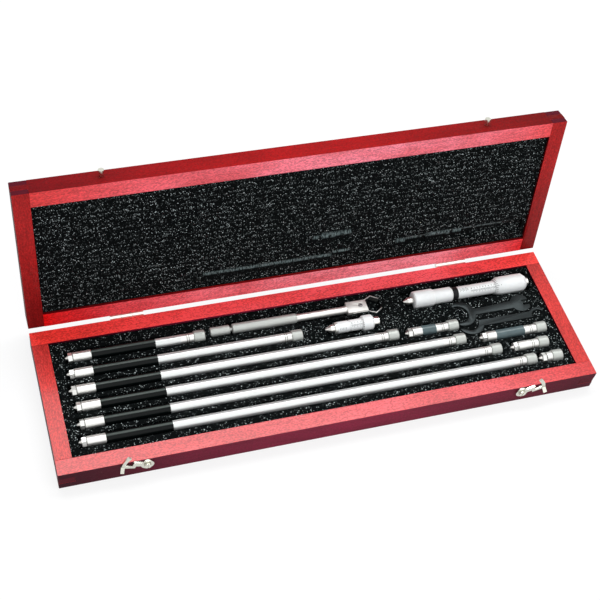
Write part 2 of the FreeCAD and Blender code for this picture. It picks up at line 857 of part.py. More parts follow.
def collar(name, start):
    bore = sizes.collar_spigot_radius + sizes.fit_clearance
    chamfer = sizes.collar_chamfer
    corners = [
        (0, bore),
        (0, sizes.collar_radius - chamfer),
        (chamfer, sizes.collar_radius),
        (sizes.collar_length - chamfer, sizes.collar_radius),
        (sizes.collar_length, sizes.collar_radius - chamfer),
        (sizes.collar_length, bore),
    ]
    return turned(name, corners, start)


contacts = []
front_fittings = []
rear_fittings = []
collars = []
grips = []
short_grips = []
beds = []
rod_slot = sizes.collar_radius + sizes.slot_margin
for k, name in enumerate(LONG_RODS + SHORT_RODS):
    start = rod_start(name)
    length = rod_length(name)
    is_long = name in LONG_RODS
    fitting_end = sizes.long_fitting_end if is_long else sizes.short_fitting_end
    tube_end = length - rear_length
    spigot = sizes.tube_spigot_length
    front_corners = front_profile + [
        (fitting_end, sizes.fitting_radius),
        (fitting_end, tube_spigot_radius),
        (fitting_end + spigot, tube_spigot_radius),
        (fitting_end + spigot, 0),
    ]
    blank = turned(name + "_front_blank", front_corners, start)
    front_fittings.append(with_flange(name + "_front", blank, start, FLANGE_TURNS[k]))
    contacts.append(contact(name + "_contact", start))
    rear_corners = [
        (tube_end - spigot, 0),
        (tube_end - spigot, tube_spigot_radius),
        (tube_end, tube_spigot_radius),
        (tube_end, sizes.tube_radius),
    ] + rear_profile(tube_end)
    rear_fittings.append(turned(name + "_rear", rear_corners, start))
    collar_start = length - sizes.collar_length
    collars.append(collar(name + "_collar", along(start, collar_start)))
    tube_corners = [
        (fitting_end, sizes.tube_bore_radius),
        (fitting_end, sizes.tube_radius),
        (tube_end, sizes.tube_radius),
        (tube_end, sizes.tube_bore_radius),
    ]
    node(turned(name, tube_corners, start), name)
    grip_end = fitting_end + sizes.grip_length if is_long else tube_end
    grip_corners = [
        (fitting_end, grip_bore_radius),
        (fitting_end, grip_radius),
        (grip_end, grip_radius),
        (grip_end, grip_bore_radius),
    ]
    grip = turned(name + "_grip", grip_corners, start)
    if is_long:
        grips.append(grip)
    else:
        short_grips.append(grip)
    steps = [
        (as_size(0), fitting_end, sizes.fitting_radius),
        (fitting_end, grip_end, grip_radius),
        (grip_end, collar_start, sizes.tube_radius),
        (collar_start, length, sizes.collar_radius),
    ]
    beds.append(bed(name + "_bed", steps, start, sizes.bed_clearance))
    beds.append(trough(name + "_slot", rod_slot, start, length))

for k, name in enumerate(SOLID_RODS, len(LONG_RODS + SHORT_RODS)):
    start = rod_start(name)
    length = rod_length(name)
    rear_start = length - rear_length
    stem_end = length - sizes.collar_length
    spigot_end = length - sizes.collar_socket
    if rear_start.value > neck_end.value:
        tail = [(rear_start, sizes.fitting_radius), (rear_start, sizes.tube_radius)]
        tail += rear_profile(rear_start)
    else:
        tail = [
            (stem_end, sizes.fitting_radius),
            (stem_end, sizes.collar_spigot_radius),
            (spigot_end, sizes.collar_spigot_radius),
            (spigot_end, 0),
        ]
    blank = turned(name + "_blank", front_profile + tail, start)
    node(with_flange(name, blank, start, FLANGE_TURNS[k]), name)
    contacts.append(contact(name + "_contact", start))
    collars.append(collar(name + "_collar", along(start, stem_end)))
    steps = [
        (as_size(0), stem_end, sizes.fitting_radius),
        (stem_end, length, sizes.collar_radius),
    ]
    beds.append(bed(name + "_bed", steps, start, sizes.bed_clearance))
    beds.append(trough(name + "_slot", rod_slot, start, length))

node(group("all_front_fittings", front_fittings), "rod_front_fittings")
node(group("all_rear_fittings", rear_fittings), "rod_rear_fittings")
node(group("all_contacts", contacts), "rod_contacts")
node(group("all_collars", collars), "rod_collars")
node(group("all_grips", grips), "rod_grips")
node(group("all_short_grips", short_grips), "short_rod_grips")


# Large measuring head. Distances run from its fixed contact towards the anvil on the thimble.
stub_start = sizes.large_nose_length
large_collar_start = stub_start + sizes.large_stub_length
large_body_start = large_collar_start + sizes.large_collar_length
large_ring_start = large_body_start + sizes.large_body_length
large_sleeve_start = large_ring_start + sizes.large_ring_length
large_line = large_sleeve_start + sizes.large_sleeve_line
large_sleeve_end = large_sleeve_start + sizes.large_sleeve_length
large_thimble_start = large_line + sizes.large_reading
large_thimble_end = large_thimble_start + sizes.large_thimble_length
large_cavity_end = large_thimble_end - sizes.large_end_wall
large_anvil_end = large_thimble_end + sizes.large_anvil_length
large_tip = right_wall - sizes.large_head_end_gap - sizes.large_overrun - large_anvil_end
large_start = point(large_tip, first_row, axis_height)

shank_end = large_collar_start + sizes.large_contact_shank
node(
    turned(
        "large_contact",
        [
            (0, 0),
            (0, sizes.nose_tip_radius),
            (stub_start, sizes.large_nose_radius),
            (stub_start, sizes.large_stub_radius),
            (large_collar_start, sizes.large_stub_radius),
            (large_collar_start, sizes.large_contact_shank_radius),
            (shank_end, sizes.large_contact_shank_radius),
            (shank_end, 0),
        ],
        large_start,
    ),
    "large_head_contact",
)

contact_bore = sizes.large_contact_shank_radius + sizes.fit_clearance
spigot_bore = sizes.large_spigot_radius + sizes.fit_clearance
spigot_start = large_body_start - sizes.large_spigot_length
chamfer = sizes.large_collar_chamfer
node(
    turned(
        "large_collar",
        [
            (large_collar_start, contact_bore),
            (large_collar_start, sizes.large_collar_radius - chamfer),
            (large_collar_start + chamfer, sizes.large_collar_radius),
            (large_body_start - chamfer, sizes.large_collar_radius),
            (large_body_start, sizes.large_collar_radius - chamfer),
            (large_body_start, spigot_bore),
            (spigot_start, spigot_bore),
            (spigot_start, 0),
            (shank_end, 0),
            (shank_end, contact_bore),
        ],
        large_start,
    ),
    "large_head_collar",
)

chamfer = sizes.large_body_chamfer
nose_spigot_end = large_ring_start + sizes.large_nose_spigot_length
node(
    turned(
        "large_body",
        [
            (spigot_start, 0),
            (spigot_start, sizes.large_spigot_radius),
            (large_body_start, sizes.large_spigot_radius),
            (large_body_start, sizes.large_body_radius),
            (large_ring_start - chamfer, sizes.large_body_radius),
            (large_ring_start, sizes.large_body_radius - chamfer),
            (large_ring_start, sizes.large_nose_spigot_radius),
            (nose_spigot_end, sizes.large_nose_spigot_radius),
            (nose_spigot_end, 0),
        ],
        large_start,
    ),
    "large_head_body",
)

nose_bore = sizes.large_nose_spigot_radius + sizes.fit_clearance
node(
    turned(
        "large_ring",
        [
            (large_ring_start, nose_bore),
            (large_ring_start, sizes.large_ring_radius),
            (large_sleeve_start, sizes.large_ring_radius),
            (large_sleeve_start, nose_bore),
        ],
        large_start,
    ),
    "large_head_ring",
)

screw_bore = sizes.large_screw_radius + sizes.running_clearance
line_floor = sizes.large_sleeve_radius - sizes.ring_depth
node(
    turned(
        "large_sleeve",
        [
            (large_sleeve_start, nose_bore),
            (large_sleeve_start, sizes.large_sleeve_radius),
            (large_line - sizes.ring_width, sizes.large_sleeve_radius),
            (large_line - sizes.ring_width, line_floor),
            (large_line, line_floor),
            (large_line, sizes.large_sleeve_radius),
            (large_sleeve_end, sizes.large_sleeve_radius),
            (large_sleeve_end, screw_bore),
            (nose_spigot_end + sizes.running_clearance, screw_bore),
            (nose_spigot_end + sizes.running_clearance, nose_bore),
        ],
        large_start,
    ),
    "large_head_sleeve",
)

screw_end = large_cavity_end - sizes.running_clearance
screw_start = screw_end - sizes.large_screw_length
node(
    turned(
        "large_screw",
        [
            (screw_start, 0),
            (screw_start, sizes.large_screw_radius),
            (screw_end, sizes.large_screw_radius),
            (screw_end, 0),
        ],
        large_start,
    ),
    "large_head_screw",
)

cavity_radius = sizes.large_sleeve_radius + sizes.running_clearance
anvil_bore = sizes.anvil_shank_radius + sizes.fit_clearance
node(
    turned(
        "large_thimble",
        [
            (large_thimble_start, cavity_radius),
            (large_thimble_start, sizes.large_edge_radius),
            (large_thimble_start + sizes.large_bevel, sizes.large_thimble_radius),
            (large_thimble_end - sizes.large_thimble_chamfer, sizes.large_thimble_radius),
            (large_thimble_end, sizes.large_end_radius),
            (large_thimble_end, anvil_bore),
            (large_cavity_end, anvil_bore),
            (large_cavity_end, cavity_radius),
        ],
        large_start,
    ),
    "large_head_thimble",
)


def anvil(name, start, radius, length, shank_radius, wall):
    """A hardened button whose shank fills the bore in the thimble's end wall."""
    corners = [
        (-wall, 0),
        (-wall, shank_radius),
        (0, shank_radius),
        (0, radius),
        (length - sizes.collar_chamfer, radius),
        (length, radius - sizes.collar_chamfer),
        (length, 0),
    ]
    return turned(name, corners, start)


node(
    anvil(
        "large_anvil",
        along(large_start, large_thimble_end),
        sizes.large_anvil_radius,
        sizes.large_anvil_length,
        sizes.anvil_shank_radius,
        sizes.large_end_wall,
    ),
    "large_head_anvil",
)

# The thimble screws out until its edge clears the sleeve, so its bed leaves it that much room
large_room_end = large_thimble_end + sizes.large_overrun
large_steps = [
    (as_size(0), large_collar_start, sizes.large_stub_radius),
    (large_collar_start, large_body_start, sizes.large_collar_radius),
    (large_body_start, large_ring_start, sizes.large_body_radius),
    (large_ring_start, large_line - sizes.ring_width, sizes.large_ring_radius),
    (large_line - sizes.ring_width, large_room_end, sizes.large_thimble_radius),
    (large_room_end, large_anvil_end + sizes.large_overrun, sizes.large_anvil_radius),
]
large_slot = sizes.large_thimble_radius + sizes.head_slot_margin
beds.append(bed("large_head_bed", large_steps, large_start, sizes.bed_clearance))
beds.append(trough("large_head_slot", large_slot, large_start, large_room_end))


# Small measuring head, built like the large one but with its contact straight in the sleeve
small_tip = rod_end("rod_7_inch") + sizes.small_head_gap
small_start = point(small_tip, row_of("rod_7_inch") + sizes.small_head_shift, axis_height)
small_stub_start = sizes.small_nose_length
small_ring_start = small_stub_start + sizes.small_stub_length
small_sleeve_start = small_ring_start + sizes.small_ring_length
small_line_start = small_sleeve_start + sizes.small_sleeve_line
small_line_end = small_line_start + sizes.small_line_width
small_sleeve_end = small_sleeve_start + sizes.small_sleeve_length
small_thimble_start = small_line_end + sizes.small_reading + sizes.small_line_width
small_thimble_end = small_thimble_start + sizes.small_thimble_length
small_cavity_end = small_thimble_end - sizes.small_end_wall
small_anvil_end = small_thimble_end + sizes.small_anvil_length

shank_end = small_ring_start + sizes.small_contact_shank
node(
    turned(
        "small_contact",
        [
            (0, 0),
            (0, sizes.nose_tip_radius),
            (small_stub_start, sizes.small_nose_radius),
            (small_stub_start, sizes.small_stub_radius),
            (small_ring_start, sizes.small_stub_radius),
            (small_ring_start, sizes.small_contact_shank_radius),
            (shank_end, sizes.small_contact_shank_radius),
            (shank_end, 0),
        ],
        small_start,
    ),
    "small_head_contact",
)

contact_bore = sizes.small_contact_shank_radius + sizes.fit_clearance
node(
    turned(
        "small_ring",
        [
            (small_ring_start, contact_bore),
            (small_ring_start, sizes.small_ring_radius),
            (small_sleeve_start, sizes.small_ring_radius),
            (small_sleeve_start, contact_bore),
        ],
        small_start,
    ),
    "small_head_ring",
)

screw_bore = sizes.small_screw_radius + sizes.running_clearance
node(
    turned(
        "small_sleeve",
        [
            (small_sleeve_start, contact_bore),
            (small_sleeve_start, sizes.small_sleeve_radius),
            (small_line_start, sizes.small_sleeve_radius),
            (small_line_start, sizes.small_line_radius),
            (small_line_end, sizes.small_line_radius),
            (small_line_end, sizes.small_sleeve_radius),
            (small_sleeve_end, sizes.small_sleeve_radius),
            (small_sleeve_end, screw_bore),
            (shank_end + sizes.running_clearance, screw_bore),
            (shank_end + sizes.running_clearance, contact_bore),
        ],
        small_start,
    ),
    "small_head_sleeve",
)

screw_end = small_cavity_end - sizes.running_clearance
screw_start = screw_end - sizes.small_screw_length
node(
    turned(
        "small_screw",
        [
            (screw_start, 0),
            (screw_start, sizes.small_screw_radius),
            (screw_end, sizes.small_screw_radius),
            (screw_end, 0),
        ],
        small_start,
    ),
    "small_head_screw",
)

cavity_radius = sizes.small_sleeve_radius + sizes.running_clearance
chamfer = sizes.small_thimble_chamfer
node(
    turned(
        "small_thimble",
        [
            (small_thimble_start, cavity_radius),
            (small_thimble_start, sizes.small_edge_radius),
            (small_thimble_start + sizes.small_bevel, sizes.small_thimble_radius),
            (small_thimble_end - chamfer, sizes.small_thimble_radius),
            (small_thimble_end, sizes.small_thimble_radius - chamfer),
            (small_thimble_end, anvil_bore),
            (small_cavity_end, anvil_bore),
            (small_cavity_end, cavity_radius),
        ],
        small_start,
    ),
    "small_head_thimble",
)
node(
    anvil(
        "small_anvil",
        along(small_start, small_thimble_end),
        sizes.small_anvil_radius,
        sizes.small_anvil_length,
        sizes.anvil_shank_radius,
        sizes.small_end_wall,
    ),
    "small_head_anvil",
)

small_travel_room = sizes.small_line_width
small_steps = [
    (as_size(0), small_ring_start, sizes.small_stub_radius),
    (small_ring_start, small_line_start, sizes.small_sleeve_radius),
    (small_line_start, small_thimble_end + small_travel_room, sizes.small_thimble_radius),
    (small_thimble_end + small_travel_room, small_anvil_end + small_travel_room,
     sizes.small_anvil_radius),
]
small_slot = sizes.small_thimble_radius + sizes.head_slot_margin
beds.append(bed("small_head_bed", small_steps, small_start, sizes.bed_clearance))
beds.append(trough("small_head_slot", small_slot, small_start, small_thimble_end + small_travel_room))


# Handle: a knob on a stem, a knurled grip, a rod and a block that carries the spring clip
handle_tip = rod_end("rod_4_inch") + sizes.handle_gap
handle_start = point(handle_tip, first_row + sizes.handle_shift, axis_height)
stem_start = sizes.knob_length
handle_grip_start = stem_start + sizes.knob_neck
handle_grip_end = handle_grip_start + sizes.handle_grip_length
handle_rod_end = handle_grip_end + sizes.handle_rod_length
stem_end = handle_grip_start + sizes.knob_stem_length
chamfer = sizes.knob_chamfer
node(
    turned(
        "knob",
        [
            (0, 0),
            (0, sizes.knob_radius - chamfer),
            (chamfer, sizes.knob_radius),
            (stem_start - chamfer, sizes.knob_radius),
            (stem_start, sizes.knob_radius - chamfer),
            (stem_start, sizes.knob_stem_radius),
            (stem_end, sizes.knob_stem_radius),
            (stem_end, 0),
        ],
        handle_start,
    ),
    "handle_knob",
)

stem_bore = sizes.knob_stem_radius + sizes.pin_clearance
handle_spigot_bore = sizes.handle_spigot_radius + sizes.fit_clearance
handle_spigot_start = handle_grip_end - sizes.handle_spigot_length
node(
    turned(
        "grip",
        [
            (handle_grip_start, stem_bore),
            (handle_grip_start, sizes.handle_grip_radius - chamfer),
            (handle_grip_start + chamfer, sizes.handle_grip_radius),
            (handle_grip_end - chamfer, sizes.handle_grip_radius),
            (handle_grip_end, sizes.handle_grip_radius - chamfer),
            (handle_grip_end, handle_spigot_bore),
            (handle_spigot_start, handle_spigot_bore),
            (handle_spigot_start, 0),
            (stem_end + sizes.running_clearance, 0),
            (stem_end + sizes.running_clearance, stem_bore),
        ],
        handle_start,
    ),
    "handle_grip",
)

handle_corners = [
    (handle_spigot_start, 0),
    (handle_spigot_start, sizes.handle_spigot_radius),
    (handle_grip_end, sizes.handle_spigot_radius),
    (handle_grip_end, sizes.handle_rod_radius),
]
for ring in range(2):
    inset = handle_grip_end + sizes.handle_ring_inset + sizes.handle_ring_spacing * ring
    floor = sizes.handle_rod_radius - sizes.ring_depth
    handle_corners += [
        (inset, sizes.handle_rod_radius),
        (inset, floor),
        (inset + sizes.ring_width, floor),
        (inset + sizes.ring_width, sizes.handle_rod_radius),
    ]
handle_corners += [
    (handle_rod_end, sizes.handle_rod_radius),
    (handle_rod_end, 0),
]
node(turned("handle_rod_turned", handle_corners, handle_start), "handle_rod")

block_start = along(handle_start, handle_rod_end)
block_middle = sizes.block_length - sizes.clip_screw_inset
screw_hole = sizes.clip_screw_radius + sizes.fit_clearance


def from_block(x, y, z):
    """A place counted from the middle of the block's rear face."""
    return block_start + point(x, y, z)


block_corner = from_block(0, -sizes.block_width / 2, -sizes.block_height / 2)
block_blank = box("block_blank", sizes.block_length, sizes.block_width, sizes.block_height, block_corner)
hole_start = from_block(block_middle, 0, -sizes.block_height)
block_hole = cylinder("block_hole", screw_hole, sizes.block_height * 2, hole_start)
node(cut("block", block_blank, block_hole), "handle_block")


# Spring clip: a web under the block, and two arms that run along it, spread and close again
arm_root = sizes.block_width / 2
arm_start = sizes.block_length - sizes.clip_side_length
elbow_x = sizes.block_length + sizes.clip_elbow_ahead
tip_x = elbow_x + sizes.clip_tip_length
clip_bottom = -sizes.block_height / 2 - sizes.clip_thickness
arm_height = sizes.clip_height + sizes.clip_thickness
arm_middle = from_block(0, 0, clip_bottom + arm_height / 2)
arm_width = sizes.clip_thickness * sizes.clip_slope
clip_pieces = []
for side in (LEFT, RIGHT):
    arm_corners = [
        (arm_start, arm_root),
        (sizes.block_length, arm_root),
        (elbow_x, sizes.clip_elbow_spread - arm_width),
        (tip_x, sizes.clip_tip_spread - arm_width),
        (tip_x, sizes.clip_tip_spread),
        (elbow_x, sizes.clip_elbow_spread),
        (sizes.block_length, arm_root + sizes.clip_thickness),
        (arm_start, arm_root + sizes.clip_thickness),
    ]
    arm_corners = [(x, y * side) for x, y in arm_corners]
    clip_pieces.append(plate(f"clip_arm{side}", "XY_Plane", arm_corners, arm_height, arm_middle))
web_corner = from_block(arm_start, -arm_root - sizes.clip_thickness, clip_bottom)
web_width = sizes.block_width + sizes.clip_thickness * 2
clip_pieces.append(
    box("clip_web", sizes.clip_side_length, web_width, sizes.clip_thickness, web_corner)
)

clip_hole = cylinder("clip_hole", screw_hole, sizes.block_height * 2, hole_start)
clip = cut("clip", fuse("clip_blank", *clip_pieces), clip_hole)
node(clip, "handle_clip")

screw_bottom = from_block(block_middle, 0, -sizes.block_height / 2 - sizes.clip_thickness)
shank_length = sizes.block_height + sizes.clip_thickness
clip_shank = cylinder("clip_shank", sizes.clip_screw_radius, shank_length, screw_bottom)
head_bottom = from_block(block_middle, 0, sizes.block_height / 2)
clip_head = cylinder("clip_head", sizes.clip_screw_head_radius, sizes.clip_screw_head, head_bottom)
node(fuse("clip_screw", clip_shank, clip_head), "handle_clip_screw")

handle_steps = [
    (as_size(0), handle_grip_end, sizes.handle_grip_radius),
    (handle_grip_end, handle_rod_end, sizes.handle_rod_radius),
]
clearance = sizes.bed_clearance
handle_slot = sizes.block_width / 2 + sizes.clip_thickness + sizes.slot_margin
beds.append(bed("handle_bed", handle_steps, handle_start, clearance))
beds.append(trough("handle_slot", handle_slot, handle_start, handle_rod_end + sizes.block_length))
block_room = sizes.block_height + sizes.clip_thickness + sizes.lid_height
block_corner = from_block(
    -clearance,
    -sizes.block_width / 2 - clearance,
    -sizes.block_height / 2 - sizes.clip_thickness - clearance,
)
beds.append(
    box(
        "block_bed",
        sizes.block_length + clearance * 2,
        sizes.block_width + clearance * 2,
        block_room,
        block_corner,
    )
)
side_room = arm_root + sizes.clip_thickness + clearance
half_bed = [
    (arm_start - clearance, side_room),
    (sizes.block_length, side_room),
    (elbow_x, sizes.clip_elbow_spread + clearance),
    (tip_x + clearance, sizes.clip_tip_spread + clearance),
]
clip_bed_corners = [(x, -y) for x, y in half_bed] + half_bed[::-1]
clip_bed_middle = from_block(0, 0, clip_bottom - clearance + block_room / 2)
beds.append(plate("clip_bed", "XY_Plane", clip_bed_corners, block_room, clip_bed_middle))


# Spanners: flat, each with a hook at one end, lying a little proud of the foam
spanner_bottom = foam_top + sizes.spanner_rise - sizes.spanner_thickness
upper_hook_x = right_wall - sizes.upper_hook_inset
upper_hook_row = back_wall - sizes.upper_hook_drop
upper_head_x = right_wall - sizes.upper_head_inset
upper_head_row = back_wall - sizes.upper_head_drop
lower_hook_x = right_wall - sizes.lower_hook_inset
lower_hook_row = back_wall - sizes.lower_hook_drop
lower_nib_x = right_wall - sizes.lower_nib_inset


def shank_plate(name, corners, height, bottom):
    """A straight-sided stretch of a spanner, drawn in the plane of the foam."""
    centre = point(0, 0, bottom + height / 2)
    return plate(name, "XY_Plane", corners, height, centre)


def upper_spanner(name, grow):
    """A wide hook and an open jaw on one shank, or with grow the room that they need."""
    height = sizes.spanner_thickness
    hook_centre = point(upper_hook_x, upper_hook_row, spanner_bottom)
    bore_x = upper_hook_x - sizes.upper_bore_offset
    bore_centre = point(bore_x, upper_hook_row, spanner_bottom)
    ring = cut(
        name + "_ring",
        cylinder(name + "_hook", sizes.upper_hook_radius + grow, height, hook_centre),
        cylinder(name + "_hook_bore", sizes.upper_bore_radius - grow, height, bore_centre),
    )
    mouth_width = sizes.upper_hook_radius * 2
    mouth_start = upper_hook_x - sizes.upper_mouth_offset - mouth_width - grow
    corner = point(mouth_start, upper_hook_row - mouth_width / 2, spanner_bottom)
    hook = cut(
        name + "_open_ring",
        ring,
        box(name + "_mouth", mouth_width, mouth_width, height, corner),
    )
    shank_start = upper_hook_x + sizes.upper_shank_start
    head_x = upper_head_x
    low_width = sizes.upper_shank_width / 2 + grow
    high_width = sizes.upper_shank_end_width / 2 + grow
    shank = shank_plate(
        name + "_shank",
        [
            (shank_start, upper_hook_row - low_width),
            (head_x, upper_head_row - high_width),
            (head_x, upper_head_row + high_width),
            (shank_start, upper_hook_row + low_width),
        ],
        height,
        spanner_bottom,
    )
    head_centre = point(head_x, upper_head_row, spanner_bottom)
    head = cylinder(name + "_head", sizes.upper_head_radius + grow, height, head_centre)
    jaw_width = sizes.upper_jaw_width - grow * 2
    jaw_start = head_x + sizes.upper_jaw_depth + grow
    corner = point(jaw_start, upper_head_row - jaw_width / 2, spanner_bottom)
    jaw = box(name + "_jaw", sizes.upper_head_radius * 2, jaw_width, height, corner)
    tips = head_x + sizes.upper_jaw_tips + grow
    corner = point(tips, upper_head_row - sizes.upper_head_radius * 2, spanner_bottom)
    trim_size = sizes.upper_head_radius * 4
    trim = box(name + "_trim", trim_size, trim_size, height, corner)
    return cut(name, fuse(name + "_blank", hook, shank, head), jaw, trim)


def lower_spanner(name, grow):
    """A half-round hook at one end of a shank and a small nib hook at the other."""
    height = sizes.spanner_thickness
    hook_x = lower_hook_x
    hook_row = lower_hook_row
    hook_centre = point(hook_x, hook_row, spanner_bottom)
    bore_x = hook_x - sizes.lower_bore_shift
    bore_centre = point(bore_x, hook_row + sizes.lower_bore_rise, spanner_bottom)
    ring = cut(
        name + "_ring",
        cylinder(name + "_hook", sizes.lower_hook_radius + grow, height, hook_centre),
        cylinder(name + "_hook_bore", sizes.lower_bore_radius - grow, height, bore_centre),
    )
    reach = sizes.lower_hook_radius * 2
    tip_row = hook_row - sizes.lower_tip_drop + grow
    top_row = hook_row + sizes.lower_shank_top + grow
    left_trim = box(
        name + "_left_trim", reach, reach, height, point(hook_x - reach, tip_row, spanner_bottom)
    )
    right_trim = box(
        name + "_right_trim",
        reach,
        reach,
        height,
        point(hook_x - sizes.lower_bore_shift, top_row, spanner_bottom),
    )
    hook = cut(name + "_open_ring", ring, left_trim, right_trim)
    shank_start = hook_x + sizes.lower_shank_start - grow
    low_row = hook_row + sizes.lower_shank_top - sizes.lower_shank_width - grow
    nib_x = lower_nib_x
    nib_row = hook_row + sizes.lower_shank_top - sizes.lower_nib_drop
    shank_end = nib_x - sizes.lower_nib_bore_radius
    shank = shank_plate(
        name + "_shank",
        [
            (shank_start, low_row),
            (shank_end, low_row),
            (shank_end, top_row),
            (shank_start, top_row),
        ],
        height,
        spanner_bottom,
    )
    nib_centre = point(nib_x, nib_row, spanner_bottom)
    turn = Rotation(Vector(0, 0, 1), sizes.lower_nib_angle.value)
    sweep = as_size(180) - sizes.lower_nib_angle
    sector = cylinder(
        name + "_sector", sizes.lower_nib_radius + grow, height, nib_centre, turn, sweep
    )
    nib_bore = cylinder(
        name + "_nib_bore", sizes.lower_nib_bore_radius - grow, height, nib_centre
    )
    nib = cut(name + "_nib", sector, nib_bore)
    return fuse(name, hook, shank, nib)


node(upper_spanner("upper_spanner", as_size(0)), "spanner_upper")
node(lower_spanner("lower_spanner", as_size(0)), "spanner_lower")
beds.append(upper_spanner("upper_spanner_bed", clearance))
beds.append(lower_spanner("lower_spanner_bed", clearance))

# Foam: the base bed is cut to every piece, and the lid bed to what stands proud of the rim
base_foam_height = foam_top - sizes.panel_thickness
base_bed = lining("base_foam_blank", sizes.panel_thickness, base_foam_height)
for k, room in enumerate(beds):
    base_bed = cut(f"base_bed{k}", base_bed, room)
node(base_bed, "base_foam")

lid_foam_height = lid_panel_bottom - lid_foam_face
lid_blank = lining("lid_foam_blank", lid_foam_face, lid_foam_height)
lid_beds = [
    bed("large_head_print", large_steps, large_start, sizes.lid_clearance),
    bed("small_head_print", small_steps, small_start, sizes.lid_clearance),
]
node(cut("lid_bed", lid_blank, *lid_beds), "lid_foam", opened)

doc.recompute()

for item in doc.Objects:
    if "Invalid" in item.State or "Error" in item.State:
        raise RuntimeError(f"{item.Label} failed: {item.State}")
os.makedirs("parts", exist_ok=True)
for item in nodes:
    shape = item.Shape
    if shape.isNull() or not shape.isValid() or not shape.Solids:
        raise RuntimeError(f"{item.Label} has no valid solid")
    shape.exportStep(f"parts/{item.Label}.step")
    print(item.Label, len(shape.Solids), round(shape.Volume, 1))
print(len(nodes), "sub-parts")
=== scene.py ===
import math

import bmesh
import bpy
from mathutils import Matrix, Vector


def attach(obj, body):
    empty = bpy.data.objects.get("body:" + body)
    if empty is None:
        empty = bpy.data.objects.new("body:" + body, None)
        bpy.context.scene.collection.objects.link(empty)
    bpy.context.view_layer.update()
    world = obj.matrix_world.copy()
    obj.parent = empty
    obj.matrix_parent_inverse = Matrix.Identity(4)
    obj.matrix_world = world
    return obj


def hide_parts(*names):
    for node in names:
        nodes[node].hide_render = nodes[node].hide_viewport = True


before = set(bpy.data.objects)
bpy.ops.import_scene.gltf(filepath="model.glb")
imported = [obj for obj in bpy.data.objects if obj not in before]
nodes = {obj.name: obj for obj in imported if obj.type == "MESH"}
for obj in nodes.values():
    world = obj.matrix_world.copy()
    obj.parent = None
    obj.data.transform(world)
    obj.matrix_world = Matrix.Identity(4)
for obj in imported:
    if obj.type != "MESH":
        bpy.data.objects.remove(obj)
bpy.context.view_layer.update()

# The view: the camera stands in front of the case's left half and looks down into it. The case
# lies on a white table in a white surround, under three soft lamps.
across = Vector((0.95847367, -0.26842195, 0.09632171))
downward = Vector((-0.16544433, -0.79847878, -0.57884351))
ahead = Vector((0.23228515, 0.53887039, -0.80972978))
lens_data = bpy.data.cameras.new("camera")
lens_data.sensor_width = 36.0
lens_data.lens = 69.95
lens_data.shift_x = 0.06
lens_data.shift_y = 0.08
lens_data.clip_start = 0.01
camera = bpy.data.objects.new("camera", lens_data)
bpy.context.scene.collection.objects.link(camera)
turned_to = Matrix((across, -downward, -ahead)).transposed().to_4x4()
camera.matrix_world = Matrix.Translation((-0.24787, -0.47020, 0.74506)) @ turned_to
bpy.context.scene.camera = camera
bpy.context.scene.view_settings.view_transform = "Standard"


def seen_share(tree):
    """1 for what the camera sees itself, in a reflection or through glass, and 0 for the light."""
    path = tree.nodes.new("ShaderNodeLightPath")
    share = path.outputs["Is Camera Ray"]
    for ray in ("Is Glossy Ray", "Is Transmission Ray"):
        larger = tree.nodes.new("ShaderNodeMath")
        larger.operation = "MAXIMUM"
        tree.links.new(share, larger.inputs[0])
        tree.links.new(path.outputs[ray], larger.inputs[1])
        share = larger.outputs[0]
    return share


surround = bpy.data.worlds.new("white_surround")
bpy.context.scene.world = surround
surround.use_nodes = True
tree = surround.node_tree
tree.nodes.clear()
shade = tree.nodes.new("ShaderNodeMix")
shade.data_type = "RGBA"
shade.inputs[6].default_value = (0.46, 0.47, 0.49, 1.0)
shade.inputs[7].default_value = (1.0, 1.0, 1.0, 1.0)
tree.links.new(seen_share(tree), shade.inputs[0])
glow = tree.nodes.new("ShaderNodeBackground")
tree.links.new(shade.outputs[2], glow.inputs["Color"])
world_out = tree.nodes.new("ShaderNodeOutputWorld")
tree.links.new(glow.outputs[0], world_out.inputs["Surface"])

for lamp_name, power, lamp_size, place, aim in (
    ("overhead_lamp", 12.8, (1.4, 0.34), (0.12, 0.49, 1.15), (0.0, 0.0, 0.0)),
    ("front_fill", 12.0, (2.0, 2.0), (0.1, -1.0, 1.2), (0.0, 0.05, 0.08)),
    ("side_lamp", 1.0, (0.5, 0.5), (0.9, -0.3, 0.7), (0.0, 0.0, 0.0)),
):
    lamp_data = bpy.data.lights.new(lamp_name, "AREA")
    lamp_data.energy = power
    lamp_data.shape = "RECTANGLE"
    lamp_data.size, lamp_data.size_y = lamp_size
    lamp = bpy.data.objects.new(lamp_name, lamp_data)
    bpy.context.scene.collection.objects.link(lamp)
    lamp.location = place
    lamp.rotation_euler = (Vector(aim) - Vector(place)).to_track_quat("-Z", "Y").to_euler()

table_mesh = bpy.data.meshes.new("table")
bm = bmesh.new()
bmesh.ops.create_grid(bm, x_segments=2, y_segments=2, size=4.0)
bmesh.ops.translate(bm, verts=bm.verts, vec=(0, 0, -0.0002))
bm.to_mesh(table_mesh)
bm.free()
table = bpy.data.objects.new("table", table_mesh)
bpy.context.scene.collection.objects.link(table)
white_table = bpy.data.materials.new("white_table")
white_table.use_nodes = True
tree = white_table.node_tree
tree.nodes.clear()
share = tree.nodes.new("ShaderNodeMath")
share.operation = "MULTIPLY"
share.inputs[1].default_value = 0.8
tree.links.new(seen_share(tree), share.inputs[0])
matt = tree.nodes.new("ShaderNodeBsdfDiffuse")
matt.inputs["Color"].default_value = (0.9, 0.9, 0.9, 1.0)
bright = tree.nodes.new("ShaderNodeEmission")
bright.inputs["Color"].default_value = (1.0, 1.0, 1.0, 1.0)
mixed = tree.nodes.new("ShaderNodeMixShader")
tree.links.new(share.outputs[0], mixed.inputs[0])
tree.links.new(matt.outputs[0], mixed.inputs[1])
tree.links.new(bright.outputs[0], mixed.inputs[2])
